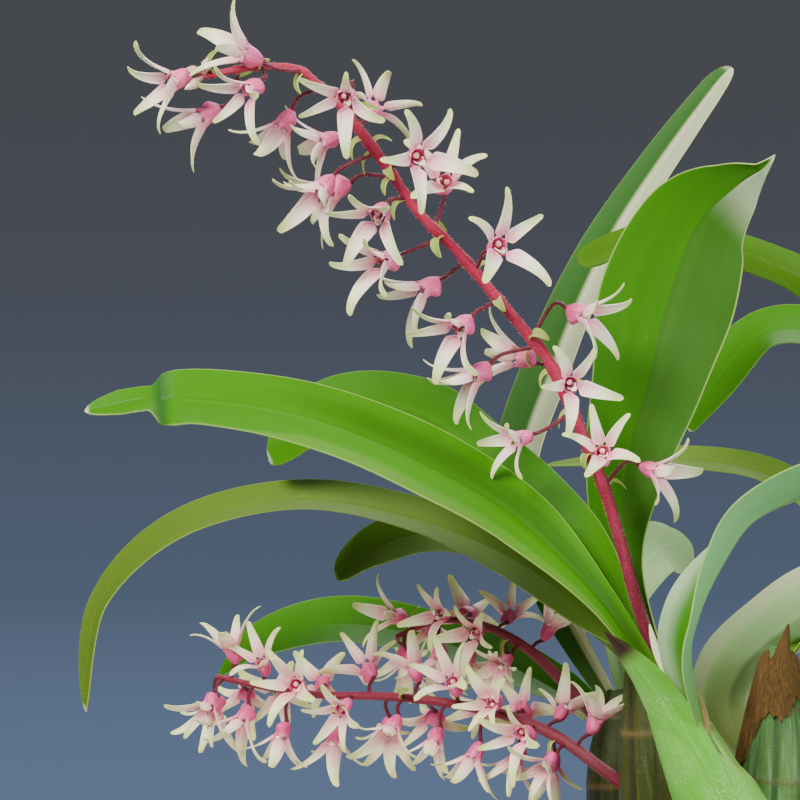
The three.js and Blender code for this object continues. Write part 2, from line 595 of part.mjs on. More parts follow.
// One bloom: a cup with a chin on its lower side, five pointed tepals round its rim, and a lip.
const TEPALS = [
  { at: 0, length: BLOOM.dorsal, width: BLOOM.dorsalWidth },
  { at: 58, length: BLOOM.petal, width: BLOOM.petalWidth },
  { at: 140, length: BLOOM.lateral, width: BLOOM.lateralWidth },
  { at: 220, length: BLOOM.lateral, width: BLOOM.lateralWidth },
  { at: 302, length: BLOOM.petal, width: BLOOM.petalWidth },
];
function bloom({ back, yaw, pitch, turn, size = 1, open = 46, seed, shares = [1, 0.78], stalk = null }) {
  const draw = seeded(seed);
  const { ahead, top, side } = stance(yaw, pitch, turn);
  const origin = point(back);
  const outward = (angle) => top.clone()
    .multiplyScalar(Math.cos(angle * DEGREE))
    .addScaledVector(side, Math.sin(angle * DEGREE));
  const at = (forward, angle, radius, drop = 0) => origin.clone()
    .addScaledVector(ahead, forward * size)
    .addScaledVector(outward(angle), radius * size)
    .addScaledVector(top, -drop * size);

  // The cup, ring by ring, from the mouth back to the foot.
  const places = [];
  const faces = [];
  const add = (spot) => places.push(spot) - 1;
  const count = TEPALS.length;
  const between = TEPALS.map((tepal, k) => (tepal.at + (TEPALS[(k + 1) % count].at || 360)) / 2);
  const deep = add(at(BLOOM.throat, 0, 0));
  const rim = between.map((angle) => add(at(BLOOM.rim, angle, BLOOM.rimRadius)));
  const inner = TEPALS.map((tepal) => add(at(BLOOM.mouth, tepal.at, BLOOM.mouthRadius)));
  const outer = TEPALS.map((tepal) => add(at(BLOOM.shoulder, tepal.at, BLOOM.cupRadius)));
  const waist = TEPALS.map((tepal) => add(at(BLOOM.waist, tepal.at, BLOOM.waistRadius, BLOOM.chin)));
  const foot = TEPALS.map((tepal) => add(at(0, tepal.at, BLOOM.footRadius)));

  // Where the bloom carries its own stalk, the skin runs on along it.
  const rings = [foot];
  const spine = [origin, ...(stalk ?? [])];
  for (let i = 1; i < spine.length; i += 1) {
    const towards = spine[i - 1].clone().sub(spine[i]).normalize();
    rings.push(TEPALS.map((tepal) => {
      const out = outward(tepal.at);
      out.addScaledVector(towards, -out.dot(towards)).normalize();
      return add(spine[i].clone().addScaledVector(out, RACHIS.pedicel));
    }));
  }
  const end = add(spine[spine.length - 1]);
  const lowest = rings[rings.length - 1];
  TEPALS.forEach((tepal, k) => {
    const next = (k + 1) % count;
    faces.push(deep, rim[k], inner[k], deep, inner[next], rim[k]);
    faces.push(outer[k], rim[k], waist[k], rim[k], waist[next], waist[k], rim[k], outer[next], waist[next]);
    faces.push(waist[k], waist[next], foot[k], waist[next], foot[next], foot[k]);
    for (let i = 1; i < rings.length; i += 1) {
      const [upper, lower] = [rings[i - 1], rings[i]];
      faces.push(upper[k], upper[next], lower[k], upper[next], lower[next], lower[k]);
    }
    faces.push(end, lowest[k], lowest[next]);
  });

  // Each tepal grows out of the rim between two of its points and bends back towards its tip.
  TEPALS.forEach((tepal, k) => {
    const out = outward(tepal.at + 9 * (draw() - 0.5));
    const lean = open + 14 * (draw() - 0.5);
    const length = tepal.length * (0.94 + 0.12 * draw()) * size;
    const reach = length / (shares.length + 1);
    const spot = at(BLOOM.rim, tepal.at, BLOOM.rimRadius);
    const step = (slant) => spot
      .addScaledVector(ahead, Math.cos(slant) * reach)
      .addScaledVector(out, Math.sin(slant) * reach)
      .clone();
    let ring = [rim[(k + count - 1) % count], inner[k], rim[k], outer[k]];
    const lengthen = (fresh) => {
      ring.forEach((corner, j) => {
        const turned = (j + 1) % 4;
        faces.push(corner, ring[turned], fresh[j], ring[turned], fresh[turned], fresh[j]);
      });
      ring = fresh;
    };
    shares.forEach((share, i) => {
      const slant = (lean + BLOOM.bend * (i / shares.length - 0.5)) * DEGREE;
      const middle = step(slant);
      const face = ahead.clone().multiplyScalar(Math.sin(slant)).addScaledVector(out, -Math.cos(slant));
      const across = new THREE.Vector3().crossVectors(face, out).normalize();
      const half = (tepal.width * share * size) / 2;
      const thick = (BLOOM.thickness * size * (0.6 + 0.4 * share)) / 2;
      lengthen([
        add(middle.clone().addScaledVector(across, half)),
        add(middle.clone().addScaledVector(face, thick)),
        add(middle.clone().addScaledVector(across, -half)),
        add(middle.clone().addScaledVector(face, -thick)),
      ]);
    });
    const tip = add(step((lean + BLOOM.bend / 2) * DEGREE));
    ring.forEach((corner, j) => faces.push(corner, ring[(j + 1) % 4], tip));
  });

  const geometry = new THREE.BufferGeometry();
  const positions = places.flatMap((spot) => spot.toArray());
  geometry.setAttribute('position', new THREE.Float32BufferAttribute(positions, 3));
  geometry.setIndex(faces);
  if (stalk) {
    return solid(geometry);
  }
  const lipLine = [0, 1, 2].map((i) => at(BLOOM.throat + (BLOOM.lip * i) / 2, 180, i % 2 ? 1.8 : 1));
  const lip = petal(lipLine, top, BLOOM.lipWidth * size, BLOOM.lipThickness * size, [0.8, 1]);
  return joined([solid(geometry), lip]);
}

// The stalk of a bloom leaves the rachis and ends a gap short of the bloom's foot.
function pedicel(from, { back, yaw, pitch, turn }) {
  const { ahead } = stance(yaw, pitch, turn);
  const end = point(back).addScaledVector(ahead, -GAP);
  const before = end.clone().addScaledVector(ahead, -0.35 * end.distanceTo(from));
  const rows = [from, before, end].map((spot) => [...spot.toArray(), RACHIS.pedicel]);
  return stem(rows, 3, 4);
}

// A bract at the foot of a stalk, bent back along the rachis.
function bract(from, ahead, out, size = 1) {
  const length = BRACT.length * size;
  const middle = from.clone().addScaledVector(out, length * 0.6).addScaledVector(ahead, length * 0.05);
  const tip = from.clone().addScaledVector(out, length * 0.95).addScaledVector(ahead, -length * 0.4);
  return petal([from, middle, tip], ahead, BRACT.width * size, BRACT.thickness, [0.9]);
}

// Blooms of the main spike: where each stalk leaves the rachis, as a share of its length,
// where the bloom's foot is, the way it looks, its size and how far its tepals open.
const BLOOMS = [
  { from: 0.853, back: [-169, -44, 433], yaw: -70, pitch: 25, turn: 55, size: 1, open: 40 },
  { from: 0.982, back: [-195, -38, 428], yaw: -60, pitch: -15, turn: -120, size: 1, open: 45 },
  { from: 0.951, back: [-185, -28, 417], yaw: -80, pitch: -30, turn: 135, size: 1, open: 45 },
  { from: 0.92, back: [-170, -44, 426], yaw: -45, pitch: -30, turn: -60, size: 0.9, open: 52 },
  { from: 0.802, back: [-159, -26, 416], yaw: -90, pitch: -60, turn: -60, size: 1, open: 45 },
  { from: 0.74, back: [-138, -46, 423], yaw: -15, pitch: -30, turn: -45, size: 0.9, open: 54 },
  { from: 0.71, back: [-132, -26, 413], yaw: 135, pitch: 45, turn: -45, size: 0.9, open: 66 },
  { from: 0.718, back: [-142, -22, 407], yaw: -85, pitch: -20, turn: 55, size: 0.9, open: 56 },
  { from: 0.702, back: [-144, -41, 392], yaw: -45, pitch: -35, turn: 25, size: 1, open: 41 },
  { from: 0.673, back: [-138, -31, 390], yaw: -85, pitch: -30, turn: 190, size: 1, open: 45 },
  { from: 0.647, back: [-125, -44, 382], yaw: -30, pitch: -30, turn: 0, size: 1, open: 45 },
  { from: 0.585, back: [-121, -37, 364], yaw: -50, pitch: -15, turn: -20, size: 1, open: 40 },
  { from: 0.545, back: [-106, -30, 355], yaw: -75, pitch: -30, turn: -15, size: 1, open: 45 },
  { from: 0.48, back: [-95, -44, 342], yaw: -45, pitch: -30, turn: -15, size: 1, open: 45 },
  { from: 0.4, back: [-88, -38, 325], yaw: -75, pitch: -35, turn: 0, size: 1, open: 41 },
  { from: 0.368, back: [-71, -27, 325], yaw: -90, pitch: 15, turn: 150, size: 1, open: 45 },
  { from: 0.33, back: [-73, -41, 300], yaw: -60, pitch: -15, turn: -90, size: 0.85, open: 52 },
  { from: 0.35, back: [-61, -49, 319], yaw: 15, pitch: 0, turn: -30, size: 0.85, open: 56 },
  { from: 0.288, back: [-48, -50, 292], yaw: 0, pitch: 30, turn: -15, size: 0.85, open: 50 },
  { from: 0.253, back: [-34, -45, 289], yaw: 60, pitch: -15, turn: -60, size: 0.9, open: 46 },
  { from: 0.413, back: [-60, -40, 345], yaw: 60, pitch: -15, turn: 0, size: 1, open: 45 },
  { from: 0.527, back: [-88, -44, 366], yaw: 30, pitch: 15, turn: 0, size: 1, open: 54 },
  { from: 0.682, back: [-117, -44, 399], yaw: 30, pitch: 0, turn: -30, size: 1, open: 60 },
  { from: 0.6, back: [-104, -30, 387], yaw: 0, pitch: 30, turn: 80, size: 1, open: 42 },
];

// The direction that leaves a line at t, part of the way round it from a given direction.
function sideways(line, t, towards, round) {
  const ahead = heading(line, t);
  const out = towards.clone().addScaledVector(ahead, -towards.dot(ahead)).normalize();
  return { ahead, out: out.applyAxisAngle(ahead, round * DEGREE) };
}

// The last buds at the tip of the spike: the way each points, and its radius along that way.
const BUDS = [[-4, 3, 2], [1, -3, 4], [-4, -4, -3]];
const BUD_SHAPE = [[0, 0.8], [0.5, 1], [1, 1.9], [1.6, 0.5]];

// The spike in one piece: rachis, stalks, a bract under each stalk, and the buds at its tip.
function spike() {
  const parts = [stem(taper(SPIKE), 16, 6)];
  BLOOMS.forEach((spec, i) => {
    const start = point(along(SPIKE, spec.from));
    const { ahead, out } = sideways(SPIKE, spec.from, point(spec.back).sub(start), i % 2 ? 50 : -50);
    parts.push(pedicel(start, spec));
    parts.push(bract(start, ahead, out, 0.85 + 0.3 * (i % 3) / 2));
  });
  const tip = point(SPIKE[SPIKE.length - 1]);
  BUDS.forEach((way) => {
    const rows = BUD_SHAPE.map(([share, radius]) => {
      const middle = tip.clone().addScaledVector(point(way), share);
      return [...middle.toArray(), radius];
    });
    parts.push(stem(rows, rows.length, 5));
  });
  return joined(parts);
}

// A smaller spray: blooms all round its rachis by the golden angle, hanging a little, fused to it.
function spray({ line, count, first, reach, droop, size, seed }) {
  const draw = seeded(seed);
  const parts = [stem(taper(line), line.length, 5)];
  for (let i = 0; i < count; i += 1) {
    const t = first + ((1 - first) * i) / (count - 1);
    const start = point(along(line, t));
    const { ahead, out } = sideways(line, t, new THREE.Vector3(0, 0, 1), i * GOLDEN_ANGLE + 20 * draw());
    const look = out.clone().addScaledVector(ahead, 0.35);
    look.z -= droop;
    look.normalize();
    const yaw = Math.atan2(look.x, -look.y) / DEGREE;
    const pitch = Math.asin(look.z) / DEGREE;
    const away = out.clone().multiplyScalar(reach * (0.85 + 0.3 * draw()));
    away.z -= reach * droop * 0.5;
    const foot = start.clone().add(away);
    const halfway = start.clone().lerp(foot, 0.5).addScaledVector(ahead, 1.2);
    parts.push(bloom({
      back: foot.toArray(), yaw, pitch, turn: 360 * draw(), size, seed: seed + i,
      shares: [0.9], stalk: [halfway, start],
    }));
    if (i % 2) {
      parts.push(bract(start, ahead, out.clone().applyAxisAngle(ahead, 60 * DEGREE)));
    }
  }
  return joined(parts);
}
const SPRAYS = {
  flower_spray_low: {
    on: 'old', line: LOW_SPRAY, count: 15, first: 0.2, reach: 9, droop: 0.5, size: 0.9, seed: 40,
  },
  flower_spray_far: {
    on: 'rear', line: FAR_SPRAY, count: 7, first: 0.4, reach: 8, droop: 0.5, size: 0.85, seed: 70,
  },
};

// Every piece is cut clear of the pseudobulb that carries it.
const clearOf = (body, names, gap = GAP) => cut(body, names.map((name) => bulb(name, gap)));
const everyBulb = Object.keys(BULBS);

place(pot(), 'pot', CLAY);
place(clearOf(cut(mix(), [rhizome(GAP)]), everyBulb), 'potting_mix', BARK);
place(clearOf(rhizome(0), everyBulb), 'rhizome', ROOT);
everyBulb.forEach((name) => place(bulb(name, 0), `pseudobulb_${name}`, BULBS[name].material));
Object.entries(LEAVES).forEach(([name, leaf]) => {
  place(clearOf(blade(leaf), [leaf.on], leaf.clear), name, LEAF_GREEN);
});
Object.entries(SHEATHS).forEach(([name, spec]) => place(sheath(spec), name, spec.material));
place(clearOf(spike(), ['front']), 'flower_spike', SPIKE_RED);
BLOOMS.forEach((spec, i) => place(bloom({ ...spec, seed: i + 1 }), `bloom_${i + 1}`, BLOOM_CREAM));
Object.entries(SPRAYS).forEach(([name, spec]) => {
  place(clearOf(spray(spec), [spec.on]), name, BLOOM_CREAM);
});

export default group;
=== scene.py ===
import math

import bpy
import numpy as np
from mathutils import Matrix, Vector


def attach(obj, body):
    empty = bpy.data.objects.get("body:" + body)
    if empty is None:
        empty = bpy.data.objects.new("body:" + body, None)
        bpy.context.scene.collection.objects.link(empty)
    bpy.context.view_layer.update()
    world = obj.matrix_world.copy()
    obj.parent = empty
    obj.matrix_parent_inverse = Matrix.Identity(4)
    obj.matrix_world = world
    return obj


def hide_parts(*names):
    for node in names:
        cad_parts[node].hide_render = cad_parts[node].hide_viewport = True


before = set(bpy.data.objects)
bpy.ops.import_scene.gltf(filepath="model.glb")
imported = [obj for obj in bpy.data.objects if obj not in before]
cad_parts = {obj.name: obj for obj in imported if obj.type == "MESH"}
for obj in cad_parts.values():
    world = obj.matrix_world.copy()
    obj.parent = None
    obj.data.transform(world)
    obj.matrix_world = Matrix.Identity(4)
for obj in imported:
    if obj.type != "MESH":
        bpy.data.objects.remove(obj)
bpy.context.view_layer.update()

# Camera. It looks at the flowers from the front, a little from above, through a long lens,
# so the pot stays below the picture.
AIM = Vector((-0.120, -0.035, 0.312))
CAMERA_DISTANCE = 1.2
CAMERA_TILT = math.radians(4)
lens = bpy.data.cameras.new("camera")
lens.lens = 150
lens.sensor_width = 36


def shown(name, data):
    """A new object in the scene."""
    thing = bpy.data.objects.new(name, data)
    bpy.context.scene.collection.objects.link(thing)
    return thing


camera = shown("camera", lens)
look = Vector((0, math.cos(CAMERA_TILT), -math.sin(CAMERA_TILT)))
camera.location = AIM - CAMERA_DISTANCE * look
camera.rotation_euler = (math.pi / 2 - CAMERA_TILT, 0, 0)
bpy.context.scene.camera = camera


# Pot. A plain clay pot, thrown and fired, unglazed, with a rim band and four drain holes.
# It is one turned wall with rounded edges, and the holes are cut through its floor.
MM = 0.001


class Wire:
    """A socket that can be reckoned with as a number."""

    def __init__(self, tree, socket):
        self.tree = tree
        self.socket = socket

    def run(self, operation, *others, clamp=False):
        settings = {"operation": operation, "use_clamp": clamp}
        return self.tree.add("ShaderNodeMath", settings, self, *others)

    def __add__(self, other):
        return self.run("ADD", other)

    def __sub__(self, other):
        return self.run("SUBTRACT", other)

    def __mul__(self, other):
        return self.run("MULTIPLY", other)

    def size(self):
        return self.run("ABSOLUTE")

    def held(self):
        """Held between 0 and 1."""
        return self.run("ADD", 0.0, clamp=True)

    def rise(self, low, high):
        """0 below low, 1 above high, and smooth between them. Low may be the larger of the two."""
        settings = {"interpolation_type": "SMOOTHSTEP"}
        return self.tree.add("ShaderNodeMapRange", settings, self, low, high, 0.0, 1.0)


class Tree:
    """A node tree that is written as Python."""

    def __init__(self, tree):
        self.tree = tree

    def feed(self, socket, value):
        if isinstance(value, Wire):
            self.tree.links.new(value.socket, socket)
        else:
            socket.default_value = value

    def add(self, kind, settings=None, *values, output=0, **named):
        """A node of a kind: its settings first, then its sockets in order or by name."""
        node = self.tree.nodes.new(kind)
        for key, value in (settings or {}).items():
            if key == "stops":
                self.stops(node.color_ramp, value)
            else:
                setattr(node, key, value)
        for place, value in enumerate(values):
            if value is not None:
                self.feed(node.inputs[place], value)
        for key, value in named.items():
            self.feed(node.inputs[key.replace("_", " ")], value)
        return Wire(self, node.outputs[output])

    def scaled(self, vector, amount):
        node = self.add("ShaderNodeVectorMath", {"operation": "SCALE"}, vector)
        self.feed(node.socket.node.inputs["Scale"], amount)
        return node

    def stops(self, ramp, stops):
        while len(ramp.elements) < len(stops):
            ramp.elements.new(1.0)
        for element, (place, colour) in zip(ramp.elements, stops):
            element.position = place
            element.color = colour


def paint(red, green, blue):
    """A colour as a painter reads it off a chart, from 0 to 255, made linear."""
    def linear(value):
        share = value / 255
        return share / 12.92 if share <= 0.04045 else ((share + 0.055) / 1.055) ** 2.4
    return (linear(red), linear(green), linear(blue), 1.0)


class Finish(Tree):
    """A procedural material round one Principled shader, whose constants stand on its sockets."""

    def __init__(self, name, **sockets):
        self.material = bpy.data.materials.new(name)
        self.material.use_nodes = True
        super().__init__(self.material.node_tree)
        self.shader = self.tree.nodes["Principled BSDF"]
        self.set(**sockets)

    def set(self, **sockets):
        for key, value in sockets.items():
            self.feed(self.shader.inputs[key.replace("_", " ")], value)

    def value(self, name):
        """A number that the piece carries at each of its points."""
        return self.add("ShaderNodeAttribute", {"attribute_name": name}, output="Fac")

    def place(self, *stretch):
        """Where a point is on the piece, in metres, each axis stretched as given."""
        spot = self.add("ShaderNodeTexCoord", output="Object")
        if not stretch:
            return spot
        return self.add("ShaderNodeVectorMath", {"operation": "MULTIPLY"}, spot, stretch)

    def fibre(self, round_scale, long_scale):
        """A spot that runs round a stem and along it, for marks drawn out along the stem."""
        spot = self.add("ShaderNodeCombineXYZ", None, self.value("east"), self.value("north"),
                        self.value("along") * long_scale)
        scale = (round_scale, round_scale, 1.0)
        return self.add("ShaderNodeVectorMath", {"operation": "MULTIPLY"}, spot, scale)

    def noise(self, scale, detail=3.0, at=None, rough=0.5):
        return self.add("ShaderNodeTexNoise", None, Vector=at or self.place(), Scale=scale,
                        Detail=detail, Roughness=rough)

    def cells(self, scale):
        return self.add("ShaderNodeTexVoronoi", None, Vector=self.place(), Scale=scale,
                        output="Distance")

    def mix(self, share, first, second):
        """Two colours mixed: the first where share is 0, the second where it is 1."""
        settings = {"data_type": "RGBA", "clamp_factor": True}
        node = self.add("ShaderNodeMix", settings, share, output=2)
        sockets = node.socket.node.inputs
        self.feed(sockets[6], first)
        self.feed(sockets[7], second)
        return node

    def shade(self, colour, amount):
        """A colour made lighter or darker by a number round 1."""
        return self.scaled(colour, amount)

    def bump(self, height, depth):
        self.set(Normal=self.add("ShaderNodeBump", None, Strength=1.0, Distance=depth,
                                 Height=height))


class Skin:
    """Points, faces and the numbers at the points of one piece, gathered part by part in mm."""

    def __init__(self):
        self.points = []
        self.faces = []
        self.values = []
        self.count = 0

    def add(self, points, faces, **values):
        flat = np.asarray(points, float).reshape(-1, 3)
        self.points.append(flat)
        self.faces += [np.asarray(some, int) + self.count for some in faces]
        self.values.append({key: np.broadcast_to(np.asarray(value, float).ravel(), len(flat))
                            for key, value in values.items()})
        self.count += len(flat)

    def mesh(self, name, finish, crease=60):
        mesh = bpy.data.meshes.new(name)
        mesh.vertices.add(self.count)
        mesh.vertices.foreach_set("co", (np.concatenate(self.points) * MM).ravel())
        corners = np.concatenate([some.ravel() for some in self.faces])
        sizes = np.concatenate([np.full(len(some), some.shape[1]) for some in self.faces])
        mesh.loops.add(len(corners))
        mesh.loops.foreach_set("vertex_index", corners)
        mesh.polygons.add(len(sizes))
        mesh.polygons.foreach_set("loop_start", np.concatenate([[0], np.cumsum(sizes)[:-1]]))
        mesh.polygons.foreach_set("use_smooth", np.ones(len(sizes), bool))
        for key in sorted(set().union(*self.values)):
            column = [part.get(key, np.zeros(len(points)))
                      for part, points in zip(self.values, self.points)]
            layer = mesh.attributes.new(key, "FLOAT", "POINT")
            layer.data.foreach_set("value", np.concatenate(column).astype(np.float32))
        mesh.update(calc_edges=True)
        mesh.validate()
        mesh.set_sharp_from_angle(angle=math.radians(crease))
        mesh.materials.append(finish.material)
        return mesh


def settle(mesh, slot, *nodes):
    """A finished mesh becomes a piece of the plant, in place of the CAD nodes it stands for."""
    piece = shown(mesh.name, mesh)
    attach(piece, "root")
    if nodes:
        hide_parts(*nodes)
    return piece


def round_grid(rings, around, close_start, close_end):
    """Faces over rings of points that run round anticlockwise, with a middle point for each end."""
    ring, step = np.meshgrid(np.arange(rings - 1), np.arange(around), indexing="ij")
    here = (ring * around + step).ravel()
    beside = (ring * around + (step + 1) % around).ravel()
    faces = [np.stack([here, beside, beside + around, here + around], 1)]
    turn = np.arange(around)
    after = (turn + 1) % around
    if close_start is not None:
        faces.append(np.stack([np.full(around, close_start), after, turn], 1))
    if close_end is not None:
        last = (rings - 1) * around
        faces.append(np.stack([np.full(around, close_end), last + turn, last + after], 1))
    return faces


def turned(skin, profile, around=96, wobble=None):
    """A body turned about the Z axis from a closed profile of [radius, height]."""
    profile = np.array(profile, float)
    angle = np.arange(around) * 2 * math.pi / around
    radius = profile[:, :1] * np.ones(around)
    if wobble is not None:
        radius = radius + wobble(angle[None, :], profile[:, 1:]) * (profile[:, :1] > 1)
    grid = np.stack([radius * np.cos(angle), radius * np.sin(angle),
                     profile[:, 1:] * np.ones(around)], -1)
    count = len(profile) * around
    ends = [[0, 0, profile[0, 1]], [0, 0, profile[-1, 1]]]
    points = np.concatenate([grid.reshape(-1, 3), ends])
    faces = round_grid(len(profile), around, count, count + 1)
    skin.add(points, faces)


POT_HEIGHT = 130
POT_RIM = 80
POT_BASE = 56
POT_WALL = 6
POT_FLOOR = 8
BAND_HEIGHT = 24
DRAIN_HOLE = 5
DRAIN_RING = 30
POT_SLOPE = (POT_RIM - 3 - POT_BASE) / POT_HEIGHT


def rounded(corners, radius=2.2, steps=5):
    """A profile with its corners rounded off, each by no more than a part of its shorter side."""
    corners = [np.array(corner, float) for corner in corners]
    out = [corners[0]]
    for before, corner, after in zip(corners, corners[1:], corners[2:]):
        back, on = before - corner, after - corner
        reach = min(radius, 0.45 * np.linalg.norm(back), 0.45 * np.linalg.norm(on))
        start = corner + back / np.linalg.norm(back) * reach
        end = corner + on / np.linalg.norm(on) * reach
        for share in np.linspace(0, 1, steps):
            out.append((1 - share) ** 2 * start + 2 * share * (1 - share) * corner
                       + share ** 2 * end)
    return out + [corners[-1]]


def even(profile, step=4.0):
    """More points along the long sides of a profile."""
    out = [profile[0]]
    for before, after in zip(profile, profile[1:]):
        parts = max(1, int(np.linalg.norm(np.array(after) - before) / step))
        out += [np.array(before) + (np.array(after) - before) * i / parts
                for i in range(1, parts + 1)]
    return out


def pot_outside(height):
    return POT_BASE + POT_SLOPE * height


def pot_inside(height):
    return pot_outside(height) - POT_WALL


pot_corners = [
    (3, 0), (POT_BASE, 0), (pot_outside(POT_HEIGHT - BAND_HEIGHT), POT_HEIGHT - BAND_HEIGHT),
    (POT_RIM - 1, POT_HEIGHT - BAND_HEIGHT), (POT_RIM, POT_HEIGHT),
    (POT_RIM - POT_WALL - 0.5, POT_HEIGHT), (pot_inside(POT_FLOOR), POT_FLOOR),
    (3, POT_FLOOR),
]
pot_skin = Skin()
turned(pot_skin, even(rounded(pot_corners)), 120,
       lambda angle, height: 0.25 * np.sin(height * 1.3) - 0.25)

clay = Finish("clay", Roughness=0.86, Specular_IOR_Level=0.3)
clay_place = clay.place()
clay_stain = clay.noise(14, 6, rough=0.6)
clay_height = clay.add("ShaderNodeSeparateXYZ", None, clay_place, output="Z")
clay_base = clay.mix(clay_stain.rise(0.35, 0.7), paint(178, 100, 66), paint(196, 122, 84))
clay_salt = (clay.noise(45, 8, rough=0.7).rise(0.52, 0.72)
             * clay_height.rise(0.085, 0.02) * 0.55)
clay_moss = clay.noise(30, 5).rise(0.55, 0.7) * clay_height.rise(0.09, 0.122) * 0.35
clay_colour = clay.mix(clay_salt, clay_base, paint(224, 206, 186))
clay_colour = clay.mix(clay_moss, clay_colour, paint(96, 96, 58))
clay_grit = clay.noise(900, 3)
clay_rings = clay.noise(1.0, 4, at=clay.place(6, 6, 420))
clay.set(Base_Color=clay.shade(clay_colour, clay_grit * 0.3 + 0.85),
         Roughness=clay_stain * 0.15 + 0.78)
clay.bump(clay_grit * 0.35 + clay_rings * 0.65, 0.0006)


def applied(thing):
    """The mesh of an object as its modifiers leave it."""
    return bpy.data.meshes.new_from_object(
        thing.evaluated_get(bpy.context.evaluated_depsgraph_get()))


DRILL_SIDES = 28


def bored(mesh, centres, radius, height):
    """Round holes cut down through a mesh at the given places."""
    body = shown("bored", mesh)
    drills = Skin()
    turn = np.arange(DRILL_SIDES) * 2 * math.pi / DRILL_SIDES
    ends = (-height, 3 * height)
    for x, y in centres:
        rings = [np.stack([x + radius * np.cos(turn), y + radius * np.sin(turn),
                           np.full(DRILL_SIDES, z)], 1) for z in ends]
        drills.add(np.concatenate(rings + [[[x, y, z] for z in ends]]),
                   round_grid(2, DRILL_SIDES, 2 * DRILL_SIDES, 2 * DRILL_SIDES + 1))
    drill = shown("drill", drills.mesh("drill", clay))
    cutter = body.modifiers.new("holes", "BOOLEAN")
    cutter.operation = "DIFFERENCE"
    cutter.solver = "EXACT"
    cutter.object = drill
    result = applied(body)
    bpy.data.objects.remove(body)
    bpy.data.objects.remove(drill)
    result.set_sharp_from_angle(angle=math.radians(50))
    return result


drain_spots = [(DRAIN_RING * math.cos(turn), DRAIN_RING * math.sin(turn))
               for turn in np.radians([45, 135, 225, 315])]
pot_mesh = bored(pot_skin.mesh("clay_pot", clay), drain_spots, DRAIN_HOLE, POT_FLOOR)
settle(pot_mesh, "clay", "pot")


# Potting mix. Chopped orchid bark with a little pumice, dry on top and dark below,
# tipped in loose. A mound fills the pot, and loose chips lie all over it.
MIX_TOP = 118
MIX_CROWN = 3
MIX_SHOULDER = MIX_TOP - 6
MIX_ROOM = 0.6
mound = Skin()
mix_profile = [(2, POT_FLOOR + 0.5), (pot_inside(POT_FLOOR) - MIX_ROOM, POT_FLOOR + 0.5),
               (pot_inside(MIX_SHOULDER) - MIX_ROOM, MIX_SHOULDER)]
mix_profile += [((pot_inside(MIX_SHOULDER) - 2) * share,
                 MIX_TOP - 2.5 + MIX_CROWN * (1 - share * share))
                for share in np.linspace(1, 0.02, 26)]
turned(mound, mix_profile, 90)

bark = Finish("bark", Roughness=0.9, Specular_IOR_Level=0.2)
bark_tone = bark.noise(70, 2)
bark_grain = bark.noise(60, 6, at=bark.place(1, 6, 14), rough=0.65)
bark_colour = bark.add("ShaderNodeValToRGB", {"stops": [
    (0.3, paint(46, 28, 20)), (0.47, paint(92, 56, 36)), (0.6, paint(128, 84, 54)),
    (0.72, paint(158, 116, 80))]}, bark_tone * 0.6 + bark_grain * 0.4)
bark.set(Base_Color=bark_colour, Roughness=bark_grain * 0.2 + 0.75)
bark.bump(bark_grain + bark.noise(1400, 2) * 0.3, 0.0012)


class Grower(Tree):
    """A geometry node tree with named inputs, run once on a mesh to leave a plain mesh."""

    def __init__(self, name):
        group = bpy.data.node_groups.new(name, "GeometryNodeTree")
        super().__init__(group)
        group.interface.new_socket("Geometry", in_out="INPUT", socket_type="NodeSocketGeometry")
        group.interface.new_socket("Geometry", in_out="OUTPUT", socket_type="NodeSocketGeometry")
        self.start = group.nodes.new("NodeGroupInput")
        self.end = group.nodes.new("NodeGroupOutput")
        self.names = {}

    def input(self, name, kind="NodeSocketFloat"):
        socket = self.tree.interface.new_socket(name, in_out="INPUT", socket_type=kind)
        self.names[name] = socket.identifier
        return Wire(self, self.start.outputs[name])

    def finish(self, geometry, material):
        real = self.add("GeometryNodeRealizeInstances", None, geometry)
        done = self.add("GeometryNodeSetMaterial", None, real, Material=material)
        self.tree.links.new(done.socket, self.end.inputs[0])

    def grow(self, mesh, name, **values):
        ground = shown(name, mesh)
        modifier = ground.modifiers.new("grow", "NODES")
        modifier.node_group = self.tree
        for key, value in values.items():
            modifier[self.names[key]] = value
        result = applied(ground)
        ground.modifiers.remove(modifier)
        bpy.data.objects.remove(ground)
        result.name = name
        return result


